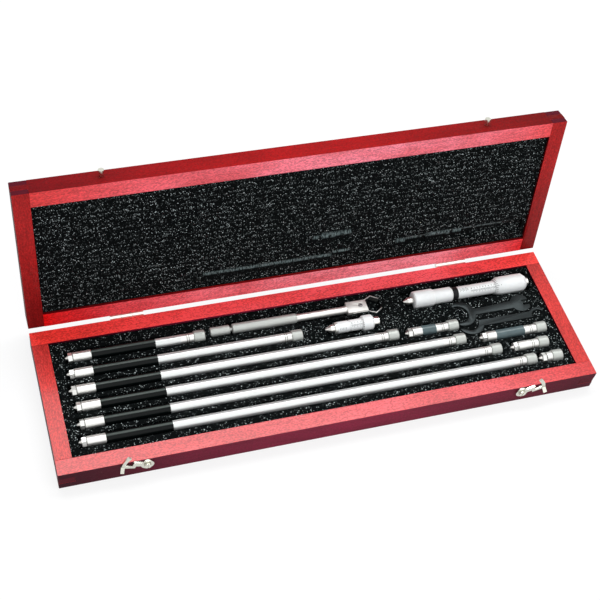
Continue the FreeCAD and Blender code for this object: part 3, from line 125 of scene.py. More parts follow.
table_out = tree.nodes.new("ShaderNodeOutputMaterial")
tree.links.new(mixed.outputs[0], table_out.inputs["Surface"])
table_mesh.materials.append(white_table)


# Case boards: solid hardwood about 12 mm thick, finger-jointed at the corners, stained red and
# lacquered. The rims are a bright red, the outside and the end grain are darker, and short dark
# pores run along the grain.
PORE_RED = (0.12, 0.003, 0.005, 1.0)
END_GRAIN_RED = (0.075, 0.003, 0.010, 1.0)


def new_group(name, inputs, outputs):
    """A shader node group with the named sockets, and the nodes that carry them."""
    group = bpy.data.node_groups.new(name, "ShaderNodeTree")
    for label, kind in inputs:
        group.interface.new_socket(label, in_out="INPUT", socket_type="NodeSocket" + kind)
    for label, kind in outputs:
        group.interface.new_socket(label, in_out="OUTPUT", socket_type="NodeSocket" + kind)
    return group, group.nodes.new("NodeGroupInput"), group.nodes.new("NodeGroupOutput")


def feed(tree, socket, source):
    """Gives a socket either another node's output or a plain value."""
    if isinstance(source, bpy.types.NodeSocket):
        tree.links.new(source, socket)
    else:
        socket.default_value = source


def place_group(tree, group, sources):
    """Puts a group in a material, with a source for each of its named inputs."""
    placed = tree.nodes.new("ShaderNodeGroup")
    placed.node_tree = group
    for label, source in sources.items():
        feed(tree, placed.inputs[label], source)
    return placed.outputs


def stretched_noise(tree, vector, stretch, detail):
    """Noise on millimetres, stretched along an axis where its number is small."""
    placed = tree.nodes.new("ShaderNodeMapping")
    placed.inputs["Scale"].default_value = [1000.0 * s for s in stretch]
    tree.links.new(vector, placed.inputs["Vector"])
    noise = tree.nodes.new("ShaderNodeTexNoise")
    noise.inputs["Scale"].default_value = 1.0
    noise.inputs["Detail"].default_value = detail
    noise.inputs["Roughness"].default_value = 0.6
    tree.links.new(placed.outputs["Vector"], noise.inputs["Vector"])
    return noise.outputs["Fac"]


def window(tree, value, low, high, start=0.0, end=1.0):
    """Spreads the values between low and high over start to end."""
    spread = tree.nodes.new("ShaderNodeMapRange")
    for label, source in (("Value", value), ("From Min", low), ("From Max", high),
                          ("To Min", start), ("To Max", end)):
        feed(tree, spread.inputs[label], source)
    return spread.outputs["Result"]


def mix_colours(tree, factor, first, second):
    mix = tree.nodes.new("ShaderNodeMix")
    mix.data_type = "RGBA"
    for number, source in ((0, factor), (6, first), (7, second)):
        feed(tree, mix.inputs[number], source)
    return mix.outputs[2]


def combine(tree, operation, first, second):
    """Two values added, multiplied or raised, and held between 0 and 1."""
    maths = tree.nodes.new("ShaderNodeMath")
    maths.operation = operation
    maths.use_clamp = True
    feed(tree, maths.inputs[0], first)
    feed(tree, maths.inputs[1], second)
    return maths.outputs[0]


def scaled(tree, colour, factor):
    scaling = tree.nodes.new("ShaderNodeVectorMath")
    scaling.operation = "SCALE"
    tree.links.new(colour, scaling.inputs[0])
    tree.links.new(factor, scaling.inputs["Scale"])
    return scaling.outputs["Vector"]


# Grain along X: mottled flecks, faint streaks and short dark pores. Over one stretch of each board,
# in patches, the rim changes colour: on the rails it grows paler toward the middle, partly stain
# and partly painted sheen, and on the lid's stiles it darkens, painted shade. The outside is
# painted lighter from one end on and painted darker toward the other, and the end grain soaked up
# most stain.
stained_grain_and_painted_light, group_in, group_out = new_group(
    "stained_grain_and_painted_light",
    (("Vector", "Vector"), ("Facing", "Vector"), ("Rim", "Color"), ("Rim Middle Stain And Light", "Color"),
     ("Outside", "Color"), ("Outside Lit Middle", "Color"), ("Gloss", "Float")),
    (("Color", "Color"), ("Roughness", "Float"), ("Coat", "Float"), ("Height", "Float")),
)
tree = stained_grain_and_painted_light
place = group_in.outputs["Vector"]
flecks = stretched_noise(tree, place, (0.6, 1.3, 1.3), 3.0)
streaks = stretched_noise(tree, place, (0.03, 0.7, 0.7), 3.0)
dashes = stretched_noise(tree, place, (0.28, 2.2, 2.2), 2.0)
clouds = stretched_noise(tree, place, (0.02, 0.05, 0.05), 2.0)
along = tree.nodes.new("ShaderNodeSeparateXYZ")
tree.links.new(place, along.inputs[0])
facing = tree.nodes.new("ShaderNodeSeparateXYZ")
tree.links.new(group_in.outputs["Facing"], facing.inputs[0])
# Where the rim's colour changes: partly stain and partly painted sheen on the rails, painted shade
# on the lid's stiles.
middle = combine(tree, "MULTIPLY", window(tree, along.outputs["X"], -0.20, 0.04),
                 window(tree, along.outputs["X"], 0.21, 0.11))
patchy = combine(tree, "MULTIPLY", middle, window(tree, clouds, 0.35, 0.6, 0.6, 1.0))
rim = mix_colours(tree, patchy, group_in.outputs["Rim"], group_in.outputs["Rim Middle Stain And Light"])
# The outside's lighter part is painted light, and its darkening toward one end is painted shade.
outside = mix_colours(tree, window(tree, along.outputs["X"], -0.21, -0.06),
                      group_in.outputs["Outside"], group_in.outputs["Outside Lit Middle"])
outside = scaled(tree, outside, window(tree, along.outputs["X"], 0.05, 0.2, 1.0, 0.42))
rim_share = window(tree, facing.outputs["Z"], 0.4, 0.7)
ground = mix_colours(tree, rim_share, outside, rim)
toned = scaled(tree, ground, window(tree, flecks, 0.36, 0.64, 0.68, 1.32))
toned = scaled(tree, toned, window(tree, streaks, 0.3, 0.7, 0.88, 1.1))
toned = scaled(tree, toned, window(tree, clouds, 0.3, 0.7, 0.88, 1.12))
pore_share = window(tree, dashes, 0.6, 0.75, 0.0, 0.45)
grained = mix_colours(tree, pore_share, toned, PORE_RED)
across_grain = tree.nodes.new("ShaderNodeMath")
across_grain.operation = "ABSOLUTE"
tree.links.new(facing.outputs["X"], across_grain.inputs[0])
end_share = window(tree, across_grain.outputs[0], 0.6, 0.9)
tree.links.new(mix_colours(tree, end_share, grained, END_GRAIN_RED), group_out.inputs["Color"])
tree.links.new(window(tree, flecks, 0.3, 0.7, 0.42, 0.55), group_out.inputs["Roughness"])
tree.links.new(combine(tree, "MULTIPLY", window(tree, facing.outputs["Z"], 0.4, 0.9, 0.0, 1.0),
                       group_in.outputs["Gloss"]), group_out.inputs["Coat"])
tree.links.new(window(tree, dashes, 0.55, 0.75, 1.0, 0.0), group_out.inputs["Height"])


def shader_of(name):
    """A new material with its node tree, its Principled BSDF and the object's coordinates."""
    material = bpy.data.materials.new(name)
    material.use_nodes = True
    tree = material.node_tree
    surface = tree.nodes["Principled BSDF"]
    places = tree.nodes.new("ShaderNodeTexCoord")
    return material, tree, surface, places


def bumped(tree, surface, height, distance, strength=1.0):
    bump = tree.nodes.new("ShaderNodeBump")
    bump.inputs["Distance"].default_value = distance
    bump.inputs["Strength"].default_value = strength
    tree.links.new(height, bump.inputs["Height"])
    tree.links.new(bump.outputs["Normal"], surface.inputs["Normal"])


def stained_wood(name, turn, facing_turn, rim, rim_middle_stain_and_light, outside, outside_lit_middle, gloss, shift=0.0):
    """Stained hardwood, with light and shade painted along its boards. Turn brings the board's
    grain to X, facing_turn its rim's side to Z.
    """
    material, tree, surface, places = shader_of(name)
    laid = tree.nodes.new("ShaderNodeMapping")
    laid.inputs["Rotation"].default_value = turn
    laid.inputs["Location"].default_value = (shift, 0, 0)
    tree.links.new(places.outputs["Object"], laid.inputs["Vector"])
    faced = tree.nodes.new("ShaderNodeMapping")
    faced.inputs["Rotation"].default_value = facing_turn
    tree.links.new(places.outputs["Normal"], faced.inputs["Vector"])
    grain = place_group(tree, stained_grain_and_painted_light, {
        "Vector": laid.outputs["Vector"], "Facing": faced.outputs["Vector"],
        "Rim": (*rim, 1.0), "Rim Middle Stain And Light": (*rim_middle_stain_and_light, 1.0), "Outside": (*outside, 1.0),
        "Outside Lit Middle": (*outside_lit_middle, 1.0), "Gloss": gloss})
    tree.links.new(grain["Color"], surface.inputs["Base Color"])
    tree.links.new(grain["Roughness"], surface.inputs["Roughness"])
    tree.links.new(grain["Coat"], surface.inputs["Coat Weight"])
    surface.inputs["Specular IOR Level"].default_value = 0.05
    surface.inputs["Coat Roughness"].default_value = 0.2
    surface.inputs["Coat IOR"].default_value = 1.5
    bumped(tree, surface, grain["Height"], 0.00006)
    return material


def dress(node_names, material):
    """Gives CAD nodes their finish."""
    for node_name in node_names:
        nodes[node_name].data.materials.clear()
        nodes[node_name].data.materials.append(material)


def soften_edges(node_names, width):
    """Rounds a sharp CAD node's edges over a little, as sanding or tumbling does."""
    for node_name in node_names:
        weld = nodes[node_name].modifiers.new("weld", "WELD")
        weld.merge_threshold = 0.000001
        rounding = nodes[node_name].modifiers.new("rounding", "BEVEL")
        rounding.width = width
        rounding.segments = 2
        rounding.limit_method = "ANGLE"
        rounding.angle_limit = math.radians(40)


LID_SWING = math.radians(100)
QUARTER = math.radians(90)
# Turns that lay a board's grain along X and its rim upwards: a base board along the case and one
# across it, and the same for the lid, which is drawn open
LEVEL, CROSSWISE = (0, 0, 0), (0, 0, QUARTER)
LID_GRAIN, LID_RIM = (LID_SWING, 0, 0), (LID_SWING + math.pi, 0, 0)
LID_CROSS_GRAIN, LID_CROSS_RIM = (LID_SWING, 0, QUARTER), (LID_SWING + math.pi, 0, QUARTER)
# Rim and outside colours per board. The rails' rims are paler than the stiles', partly stain and
# partly painted sheen; the lighter outside middles are painted light, and the lid stiles' darker
# stretch is painted shade.
STILE_RED = (0.52, 0.030, 0.026)
LID_STILE_RED, LID_STILE_PAINTED_SHADE = (0.40, 0.012, 0.012), (0.05, 0.001, 0.001)
FRONT_RED, FRONT_LIT_MIDDLE_RED = (0.034, 0.001, 0.007), (0.18, 0.011, 0.034)
EDGE_RED, EDGE_LIT_MIDDLE_RED = (0.12, 0.002, 0.004), (0.28, 0.005, 0.006)
dress(("base_front_rail",), stained_wood(
    "base_front_wood", LEVEL, LEVEL, rim=(0.56, 0.034, 0.034), rim_middle_stain_and_light=(0.63, 0.060, 0.072),
    outside=FRONT_RED, outside_lit_middle=FRONT_LIT_MIDDLE_RED, gloss=0.55))
dress(("base_back_rail",), stained_wood(
    "base_back_wood", LEVEL, LEVEL, rim=(0.94, 0.046, 0.036), rim_middle_stain_and_light=(1.0, 0.115, 0.135),
    outside=FRONT_RED, outside_lit_middle=FRONT_LIT_MIDDLE_RED, gloss=0.55))
dress(("base_left_stile", "base_right_stile"), stained_wood(
    "base_stile_wood", CROSSWISE, CROSSWISE, rim=STILE_RED, rim_middle_stain_and_light=STILE_RED, outside=FRONT_RED,
    outside_lit_middle=FRONT_RED, gloss=0.4))
dress(("lid_front_rail",), stained_wood(
    "lid_front_wood", LID_GRAIN, LID_RIM, rim=(0.76, 0.034, 0.034), rim_middle_stain_and_light=(0.95, 0.23, 0.30),
    outside=EDGE_RED, outside_lit_middle=EDGE_LIT_MIDDLE_RED, gloss=0.5))
dress(("lid_back_rail",), stained_wood(
    "lid_back_wood", LID_GRAIN, LID_RIM, rim=(0.74, 0.004, 0.004), rim_middle_stain_and_light=(1.0, 0.31, 0.37),
    outside=EDGE_RED, outside_lit_middle=EDGE_LIT_MIDDLE_RED, gloss=0.15))
dress(("lid_left_stile", "lid_right_stile"), stained_wood(
    "lid_stile_wood", LID_CROSS_GRAIN, LID_CROSS_RIM, rim=LID_STILE_RED, rim_middle_stain_and_light=LID_STILE_PAINTED_SHADE,
    outside=EDGE_RED, outside_lit_middle=EDGE_RED, gloss=0.15, shift=0.10))
soften_edges(("base_front_rail", "base_back_rail", "base_left_stile", "base_right_stile",
              "lid_front_rail", "lid_back_rail", "lid_left_stile", "lid_right_stile"), 0.0004)


# Panels: two thin sheets of plywood let into grooves in the base and the lid. They were stained
# with the boards, but soaked up more and shine less.
PANEL_RED = (0.30, 0.014, 0.02)
PANEL_REDS = {"rim": PANEL_RED, "rim_middle_stain_and_light": PANEL_RED, "outside": PANEL_RED,
              "outside_lit_middle": PANEL_RED}
dress(("base_bottom_panel",), stained_wood("panel_wood", LEVEL, LEVEL, **PANEL_REDS, gloss=0.2))
dress(("lid_top_panel",), stained_wood("lid_panel_wood", LID_GRAIN, LEVEL, **PANEL_REDS, gloss=0.2))


# Foam beds: firm black foam, cut to shape for every piece. Its open cells catch the light as a
# dense grey speckle, and the lid's bed carries the pressed-in marks of the pieces under it, each
# with a painted sheen on it and a painted shadow beside it.
MM = 0.001
FOAM_BLACK = (0.0012, 0.0020, 0.0021, 1.0)
SPECK_GREY = (0.60, 0.68, 0.68, 1.0)
# The grey of a print is a painted sheen.
PRINT_SHEEN_GREY = (0.17, 0.225, 0.225, 1.0)
# Each print: where it starts and ends along the case, its row, and half its width, in millimetres
LID_PRINTS = ((84.0, 108.0, 33.4, 2.6), (109.0, 131.0, 32.2, 3.0), (133.0, 152.0, 31.8, 2.2),
              (154.0, 178.0, 31.8, 2.4), (13.0, 18.0, 17.4, 2.2), (19.5, 45.0, 16.6, 3.4),
              (-75.0, 30.0, 37.2, 1.9), (31.0, 46.0, 34.6, 1.7))

# Cells of two sizes. A share of them stays dark, and the others show a spot, with a reach in
# cells and a strength, that is bright in few. Fine pits roughen the surface between them.
LAYERS = ("Fine", "Coarse")
open_cells, group_in, group_out = new_group(
    "open_cells",
    (("Vector", "Vector"), *((f"{layer} {label}", "Float") for layer in LAYERS
                             for label in ("Cells per Metre", "Dark Share", "Reach", "Strength"))),
    (("Specks", "Float"), ("Height", "Float")),
)
tree = open_cells
layer_specks = []
for layer in LAYERS:
    cells = tree.nodes.new("ShaderNodeTexVoronoi")
    tree.links.new(group_in.outputs["Vector"], cells.inputs["Vector"])
    tree.links.new(group_in.outputs[f"{layer} Cells per Metre"], cells.inputs["Scale"])
    picked = tree.nodes.new("ShaderNodeSeparateColor")
    tree.links.new(cells.outputs["Color"], picked.inputs[0])
    dark = group_in.outputs[f"{layer} Dark Share"]
    chosen = window(tree, picked.outputs["Red"], dark, combine(tree, "ADD", dark, 0.04))
    lit = combine(tree, "MULTIPLY", combine(tree, "POWER", picked.outputs["Green"], 5.0),
                  group_in.outputs[f"{layer} Strength"])
    reach = group_in.outputs[f"{layer} Reach"]
    spot = window(tree, cells.outputs["Distance"], reach, combine(tree, "MULTIPLY", reach, 0.4))
    layer_specks.append(combine(tree, "MULTIPLY", chosen, combine(tree, "MULTIPLY", spot, lit)))
tree.links.new(combine(tree, "ADD", *layer_specks), group_out.inputs["Specks"])
tree.links.new(stretched_noise(tree, group_in.outputs["Vector"], (1.3, 1.3, 1.3), 3.0),
               group_out.inputs["Height"])


def print_mask(tree, place, start, end, row, half_width):
    """Where something pressed the foam flat, soft at its borders; also used for the painted shadow
    beside a print.
    """
    x, y = place.outputs["X"], place.outputs["Y"]
    lengthways = combine(tree, "MULTIPLY",
                         window(tree, x, (start - 0.5) * MM, (start + 1.5) * MM),
                         window(tree, x, (end + 0.5) * MM, (end - 1.5) * MM))
    soft = half_width * 0.3
    rising = window(tree, y, (row - half_width) * MM, (row - soft) * MM)
    falling = window(tree, y, (row + half_width) * MM, (row + soft) * MM)
    return combine(tree, "MULTIPLY", lengthways, combine(tree, "MULTIPLY", rising, falling))


def pressed_prints(tree, vector, colour, prints):
    """The foam's colour with the prints, each pressed flat, with a painted grey sheen on it and a
    painted shadow along one side.
    """
    # The prints lie over the row of pieces under them, so they are placed on the closed lid
    turned_back = Matrix.Rotation(LID_SWING, 3, "X")
    pin = Vector((0.0, 0.06522, 0.0182))
    closed = tree.nodes.new("ShaderNodeMapping")
    closed.inputs["Rotation"].default_value = LID_GRAIN
    closed.inputs["Location"].default_value = pin - turned_back @ pin
    tree.links.new(vector, closed.inputs["Vector"])
    place = tree.nodes.new("ShaderNodeSeparateXYZ")
    tree.links.new(closed.outputs["Vector"], place.inputs[0])
    flattened = shaded = 0.0
    for start, end, row, half_width in prints:
        flat = print_mask(tree, place, start, end, row, half_width)
        # A painted shadow along each print's side toward the hinge.
        shade = print_mask(tree, place, start, end, row + half_width * 0.9, half_width * 2.4)
        flattened = combine(tree, "ADD", flattened, flat)
        shaded = combine(tree, "ADD", shaded, shade)
    creases = stretched_noise(tree, closed.outputs["Vector"], (1.1, 0.3, 0.3), 3.0)
    # The painted sheen over the flattened foam.
    lit = combine(tree, "MULTIPLY", flattened, window(tree, creases, 0.4, 0.6, 0.05, 1.0))
    colour = mix_colours(tree, combine(tree, "MULTIPLY", shaded, 0.9), colour, FOAM_BLACK)
    return mix_colours(tree, lit, colour, PRINT_SHEEN_GREY)


def foam_finish(name, fine, coarse, prints=()):
    """Black foam. Fine and coarse are (cell size, share left dark, reach, strength)."""
    material, tree, surface, places = shader_of(name)
    sources = {"Vector": places.outputs["Object"]}
    for layer, (cell, dark, reach, strength) in zip(LAYERS, (fine, coarse)):
        sources.update({f"{layer} Cells per Metre": 1000.0 / cell, f"{layer} Dark Share": dark,
                        f"{layer} Reach": reach, f"{layer} Strength": strength})
    foam = place_group(tree, open_cells, sources)
    colour = mix_colours(tree, foam["Specks"], FOAM_BLACK, SPECK_GREY)
    if prints:
        colour = pressed_prints(tree, places.outputs["Object"], colour, prints)
    tree.links.new(colour, surface.inputs["Base Color"])
    surface.inputs["Roughness"].default_value = 0.95
    surface.inputs["Specular IOR Level"].default_value = 0.06
    bumped(tree, surface, foam["Height"], 0.0003, 0.6)
    return material


def add_piece(name, bm, body, material, replaced=()):
    """Makes a finished mesh a piece that rides on a body and stands for the CAD nodes named."""
    mesh = bpy.data.meshes.new(name)
    bm.to_mesh(mesh)
    bm.free()
    piece = bpy.data.objects.new(name, mesh)
    bpy.context.scene.collection.objects.link(piece)
    mesh.materials.append(material)
    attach(piece, body)
    if replaced:
        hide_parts(*replaced)
    return piece


def merged_copy(node_name):
    """A CAD node's shape as one joined mesh, for a piece that is worked further."""
    bm = bmesh.new()
    bm.from_mesh(nodes[node_name].data)
    bmesh.ops.remove_doubles(bm, verts=bm.verts, dist=0.000002)
    bmesh.ops.dissolve_limit(bm, angle_limit=math.radians(1), verts=bm.verts, edges=bm.edges)
    return bm


base_foam_black = foam_finish("base_foam_black", (0.8, 0.60, 0.46, 1.8), (1.3, 0.78, 0.40, 3.2))
lid_foam_black = foam_finish("lid_foam_black", (0.8, 0.36, 0.48, 1.15), (1.2, 0.72, 0.40, 2.4),
                             LID_PRINTS)
for node_name, body, foam_black in (("base_foam", "base", base_foam_black),
                                    ("lid_foam", "lid", lid_foam_black)):
    bm = merged_copy(node_name)
    bmesh.ops.triangulate(bm, faces=[f for f in bm.faces if len(f.verts) > 4])
    foam_piece = add_piece(node_name + "_bed", bm, body, foam_black, (node_name,))


# Hinges: two small butt hinges of plated brass. Each has two folded leaves round a plain pin, let
# into the rear edges of the case and screwed down.

# Where hands and cloths have been, a surface is paler and a little rougher than where it is wiped.
handling, group_in, group_out = new_group(
    "handling",
    (("Vector", "Vector"), ("Wiped", "Color"), ("Handled", "Color"), ("Wiped Roughness", "Float"),
     ("Handled Roughness", "Float")),
    (("Color", "Color"), ("Roughness", "Float")),
)
tree = handling
smears = stretched_noise(tree, group_in.outputs["Vector"], (0.12, 0.2, 0.2), 3.0)
tree.links.new(mix_colours(tree, window(tree, smears, 0.3, 0.75), group_in.outputs["Wiped"],
                           group_in.outputs["Handled"]), group_out.inputs["Color"])
tree.links.new(window(tree, smears, 0.3, 0.75, group_in.outputs["Wiped Roughness"],
                      group_in.outputs["Handled Roughness"]), group_out.inputs["Roughness"])

# The fine rings that a turning tool leaves around X, about three to a millimetre.
tool_rings, group_in, group_out = new_group("tool_rings", (("Vector", "Vector"),),
                                            (("Height", "Float"),))
tool_rings.links.new(
    stretched_noise(tool_rings, group_in.outputs["Vector"], (1.0 / 0.35, 0.02, 0.02), 2.0),
    group_out.inputs["Height"])


def metal_finish(name, colour, roughness, smear=0.06, ring_depth=0.0, bare=1.0):
    """A handled metal. Bare is 1 for clean metal and less where a dull plating covers it, and a
    ring depth in millimetres gives it the rings of a turning tool."""
    material, tree, surface, places = shader_of(name)
    surface.inputs["Metallic"].default_value = bare
    skin = place_group(tree, handling, {
        "Vector": places.outputs["Object"], "Wiped": [c * 0.93 for c in colour[:3]] + [1.0],
        "Handled": colour, "Wiped Roughness": roughness - smear,
        "Handled Roughness": roughness + smear})
    tree.links.new(skin["Color"], surface.inputs["Base Color"])
    tree.links.new(skin["Roughness"], surface.inputs["Roughness"])
    if ring_depth:
        rings = place_group(tree, tool_rings, {"Vector": places.outputs["Object"]})
        bumped(tree, surface, rings["Height"], ring_depth * MM)
    return material


hinge_brass = metal_finish("hinge_brass", (0.86, 0.84, 0.78, 1.0), 0.35)
dress(("hinge_base_leaves", "hinge_lid_leaves", "hinge_pins", "hinge_screws_base",
       "hinge_screws_lid"), hinge_brass)


# Hooks and studs: two flat hooks stamped from brass, each on a round-headed screw in the base,
# and two turned studs in the lid that they catch. All are nickel plated, a little yellow with age.
def milled_copy(node_name, width):
    """A CAD node's shape with its sharp edges broken."""
    bm = merged_copy(node_name)
    corners = [e for e in bm.edges if e.calc_face_angle(0.0) > math.radians(50)]
    bmesh.ops.bevel(bm, geom=corners, offset=width * MM, offset_type="OFFSET", segments=2,
                    profile=0.5, affect="EDGES", material=-1, clamp_overlap=True)
    return bm


hook_nickel = metal_finish("hook_nickel", (0.68, 0.68, 0.60, 1.0), 0.24)
for hook in ("hook_left", "hook_right"):
    add_piece(hook + "_plate", milled_copy(hook, 0.25), hook, hook_nickel, (hook,))
dress(("hook_screws", "lid_studs"), hook_nickel)


# Extension rods: chromed steel tubes with a satin polish. Each has a turned front fitting with a
# hexagon and a hard contact, a plastic grip, and a rear fitting with a knurled coupling collar.
satin_tube = metal_finish("satin_tube", (0.62, 0.64, 0.63, 1.0), 0.36, 0.04, bare=0.6)
turned_steel = metal_finish("turned_steel", (0.68, 0.685, 0.66, 1.0), 0.38, 0.05, 0.004, bare=0.75)
hard_contact = metal_finish("hard_contact", (0.70, 0.69, 0.66, 1.0), 0.3, 0.05)
knurled_steel = metal_finish("knurled_steel", (0.42, 0.44, 0.415, 1.0), 0.45, 0.06, bare=0.5)


# Plastic sleeving ripples faintly, and a painted highlight makes its upward-facing side paler.
sleeving, group_in, group_out = new_group(
    "sleeving",
    (("Vector", "Vector"), ("Facing", "Vector"), ("Without Highlight", "Color"), ("Painted Highlight", "Color")),
    (("Color", "Color"), ("Height", "Float")),
)
tree = sleeving
facing = tree.nodes.new("ShaderNodeSeparateXYZ")
tree.links.new(group_in.outputs["Facing"], facing.inputs[0])
# Painted highlight: the upward-facing side is made paler.
painted_highlight_share = window(tree, facing.outputs["Z"], 0.95, 0.995)
tree.links.new(mix_colours(tree, painted_highlight_share, group_in.outputs["Without Highlight"], group_in.outputs["Painted Highlight"]),
               group_out.inputs["Color"])
tree.links.new(stretched_noise(tree, group_in.outputs["Vector"], (0.35, 0.8, 0.8), 2.0),
               group_out.inputs["Height"])


def plastic_finish(name, colour, roughness, gloss=0.0, painted_highlight=(0.0, 0.0, 0.0)):
    """Handled plastic. Gloss is its clear top layer; the last argument is what a painted highlight
    adds to the colour of its upward-facing side.
    """
    material, tree, surface, places = shader_of(name)
    skin = place_group(tree, handling, {
        "Vector": places.outputs["Object"], "Wiped": colour,
        "Handled": [min(1.0, c * 1.5) for c in colour[:3]] + [1.0],
        "Wiped Roughness": roughness - 0.05, "Handled Roughness": roughness + 0.08})
    sleeve = place_group(tree, sleeving, {
        "Vector": places.outputs["Object"], "Facing": places.outputs["Normal"],
        "Without Highlight": skin["Color"], "Painted Highlight": [c + d for c, d in zip(colour[:3], painted_highlight)] + [1.0]})
    tree.links.new(sleeve["Color"], surface.inputs["Base Color"])
    tree.links.new(skin["Roughness"], surface.inputs["Roughness"])
    surface.inputs["Specular IOR Level"].default_value = 0.1
    surface.inputs["Coat Weight"].default_value = gloss
    surface.inputs["Coat Roughness"].default_value = 0.14
    bumped(tree, surface, sleeve["Height"], 0.00003)
    return material


# The grips' paler upward-facing band is a painted highlight.
grip_black = plastic_finish("grip_black", (0.0010, 0.0020, 0.0020, 1.0), 0.2,
                            painted_highlight=(0.060, 0.072, 0.066))
grip_teal = plastic_finish("grip_teal", (0.06, 0.088, 0.094, 1.0), 0.32, 0.3, (0.05, 0.06, 0.06))
dress(("rod_4_inch", "rod_7_inch", "rod_10_inch", "rod_12_inch", "rod_13_inch", "rod_14_inch",
       "rod_1_5_inch", "rod_2_inch"), satin_tube)
dress(("rod_front_fittings", "rod_rear_fittings", "rod_1_inch", "rod_0_5_inch"), turned_steel)
dress(("rod_contacts",), hard_contact)
dress(("rod_grips",), grip_black)
dress(("short_rod_grips",), grip_teal)


def turned_shape(corners, sides, knurled=(), pitch=0.7, depth=0.13, closed=True):
    """A turned shape around X: corners are (distance, radius) in millimetres. Between the two
    distances of knurled it gets rows of small pyramids."""
    bm = bmesh.new()
    ring = [bm.verts.new((x * MM, 0.0, radius * MM)) for x, radius in corners]
    outline = [bm.edges.new(pair) for pair in zip(ring, ring[1:])]
    if closed:
        outline.append(bm.edges.new((ring[-1], ring[0])))
    if knurled:
        low, high = knurled
        band = [e for e in outline if all(low - 0.01 < v.co.x / MM < high + 0.01 for v in e.verts)
                and e.calc_length() > pitch * MM]
        rows = round((high - low) / pitch)
        bmesh.ops.subdivide_edges(bm, edges=band, cuts=rows - 1)
    bmesh.ops.spin(bm, geom=bm.verts[:] + bm.edges[:], cent=(0, 0, 0), axis=(1, 0, 0),
                   angle=math.tau, steps=sides, use_merge=True)
    bmesh.ops.remove_doubles(bm, verts=bm.verts, dist=0.000002)
    bmesh.ops.recalc_face_normals(bm, faces=bm.faces)
    for face in bm.faces:
        face.smooth = True
    if knurled:
        grid = [f for f in bm.faces if low < f.calc_center_median().x / MM < high
                and abs(f.normal.x) < 0.3 and f.normal.dot(f.calc_center_median()) > 0]
        for face in bmesh.ops.poke(bm, faces=grid, offset=depth * MM)["faces"]:
            face.smooth = False
    return bm


def set_down(bm, tip, row):
    """Lays a shape made at the origin along X, with its start at tip in a row of the case."""
    bmesh.ops.translate(bm, verts=bm.verts, vec=(tip * MM, row * MM, AXIS_HEIGHT * MM))
    return bm


def joined(shapes):
    """Several shapes as one."""
    whole = bmesh.new()
    for shape in shapes:
        part = bpy.data.meshes.new("part")
        shape.to_mesh(part)
        shape.free()
        whole.from_mesh(part)
        bpy.data.meshes.remove(part)
    return whole


def with_crisp_edges(piece):
    """Keeps the corners of a turned or milled piece sharp and the rest smooth."""
    piece.data.set_sharp_from_angle(angle=math.radians(32))


AXIS_HEIGHT = 15.2
COLLAR_RADIUS, COLLAR_LENGTH, COLLAR_CHAMFER = 4.9, 8.7, 0.45
# Where each rod's tip lies, its row, and its length
RODS = ((-189.0, 36.4, 108.1), (-190.4, 21.5, 184.3), (-191.4, 6.6, 260.5), (-190.6, -8.3, 311.3),
        (-190.9, -23.2, 336.7), (-192.3, -38.1, 362.1), (75.2, 5.9, 44.6), (132.9, -10.2, 57.3),
        (154.3, -24.2, 31.9), (172.9, -38.7, 19.2))
collar_rim, knurl_root = COLLAR_RADIUS - 0.5, COLLAR_RADIUS - 0.1
collars = []
for tip, row, length in RODS:
    collar = turned_shape(
        ((0.0, 3.05), (0.0, collar_rim), (COLLAR_CHAMFER, knurl_root), (1.0, knurl_root),
         (COLLAR_LENGTH - 1.0, knurl_root), (COLLAR_LENGTH - COLLAR_CHAMFER, knurl_root),
         (COLLAR_LENGTH, collar_rim), (COLLAR_LENGTH, 3.5), (COLLAR_LENGTH - 0.4, 3.05)),
        44, (1.0, COLLAR_LENGTH - 1.0))
    collars.append(set_down(collar, tip + length - COLLAR_LENGTH, row))
with_crisp_edges(add_piece("rod_collar_knurls", joined(collars), "base", knurled_steel,
                           ("rod_collars",)))

# Thin dark grey rings lie in the neck behind each hexagon, which is 5.4 mm from the tip and 0.6
# long, and in the two rings before the collar, of which the shortest rod has one.
groove_dark_grey = plastic_finish("groove_dark_grey", (0.13, 0.13, 0.12, 1.0), 0.6)
NECK_START = 5.4
dark_ring_shapes = []
for tip, row, length in RODS:
    for start, end, groove_radius in ((NECK_START + 0.02, NECK_START + 0.58, 3.2),
                                      (length - 14.48, length - 14.02, 3.55),
                                      (length - 12.88, length - 12.42, 3.55)):
        if start > NECK_START:
            inner, outer = groove_radius - 0.1, groove_radius + 0.12
            ring = turned_shape(((start, inner), (start, outer), (end, outer), (end, inner)), 32)
            dark_ring_shapes.append(set_down(ring, tip, row))
add_piece("rod_groove_dark_rings", joined(dark_ring_shapes), "base", groove_dark_grey)


# Large measuring head: satin-chromed steel. Collar, body, black ring and sleeve stay still while
# the thimble screws along the sleeve; its anvil is the moving measuring face. The scales are
# engraved and filled with black.
satin_chrome = metal_finish("satin_chrome", (0.84, 0.86, 0.855, 1.0), 0.6, 0.03, 0.003, bare=0.1)
dress(("large_head_body", "large_head_sleeve"), satin_chrome)
dress(("large_head_contact", "large_head_anvil"), hard_contact)
dress(("large_head_screw",), turned_steel)
ring_black = plastic_finish("ring_black", (0.012, 0.012, 0.013, 1.0), 0.42)
dress(("large_head_ring",), ring_black)
scale_black = plastic_finish("scale_black", (0.02, 0.02, 0.022, 1.0), 0.5)

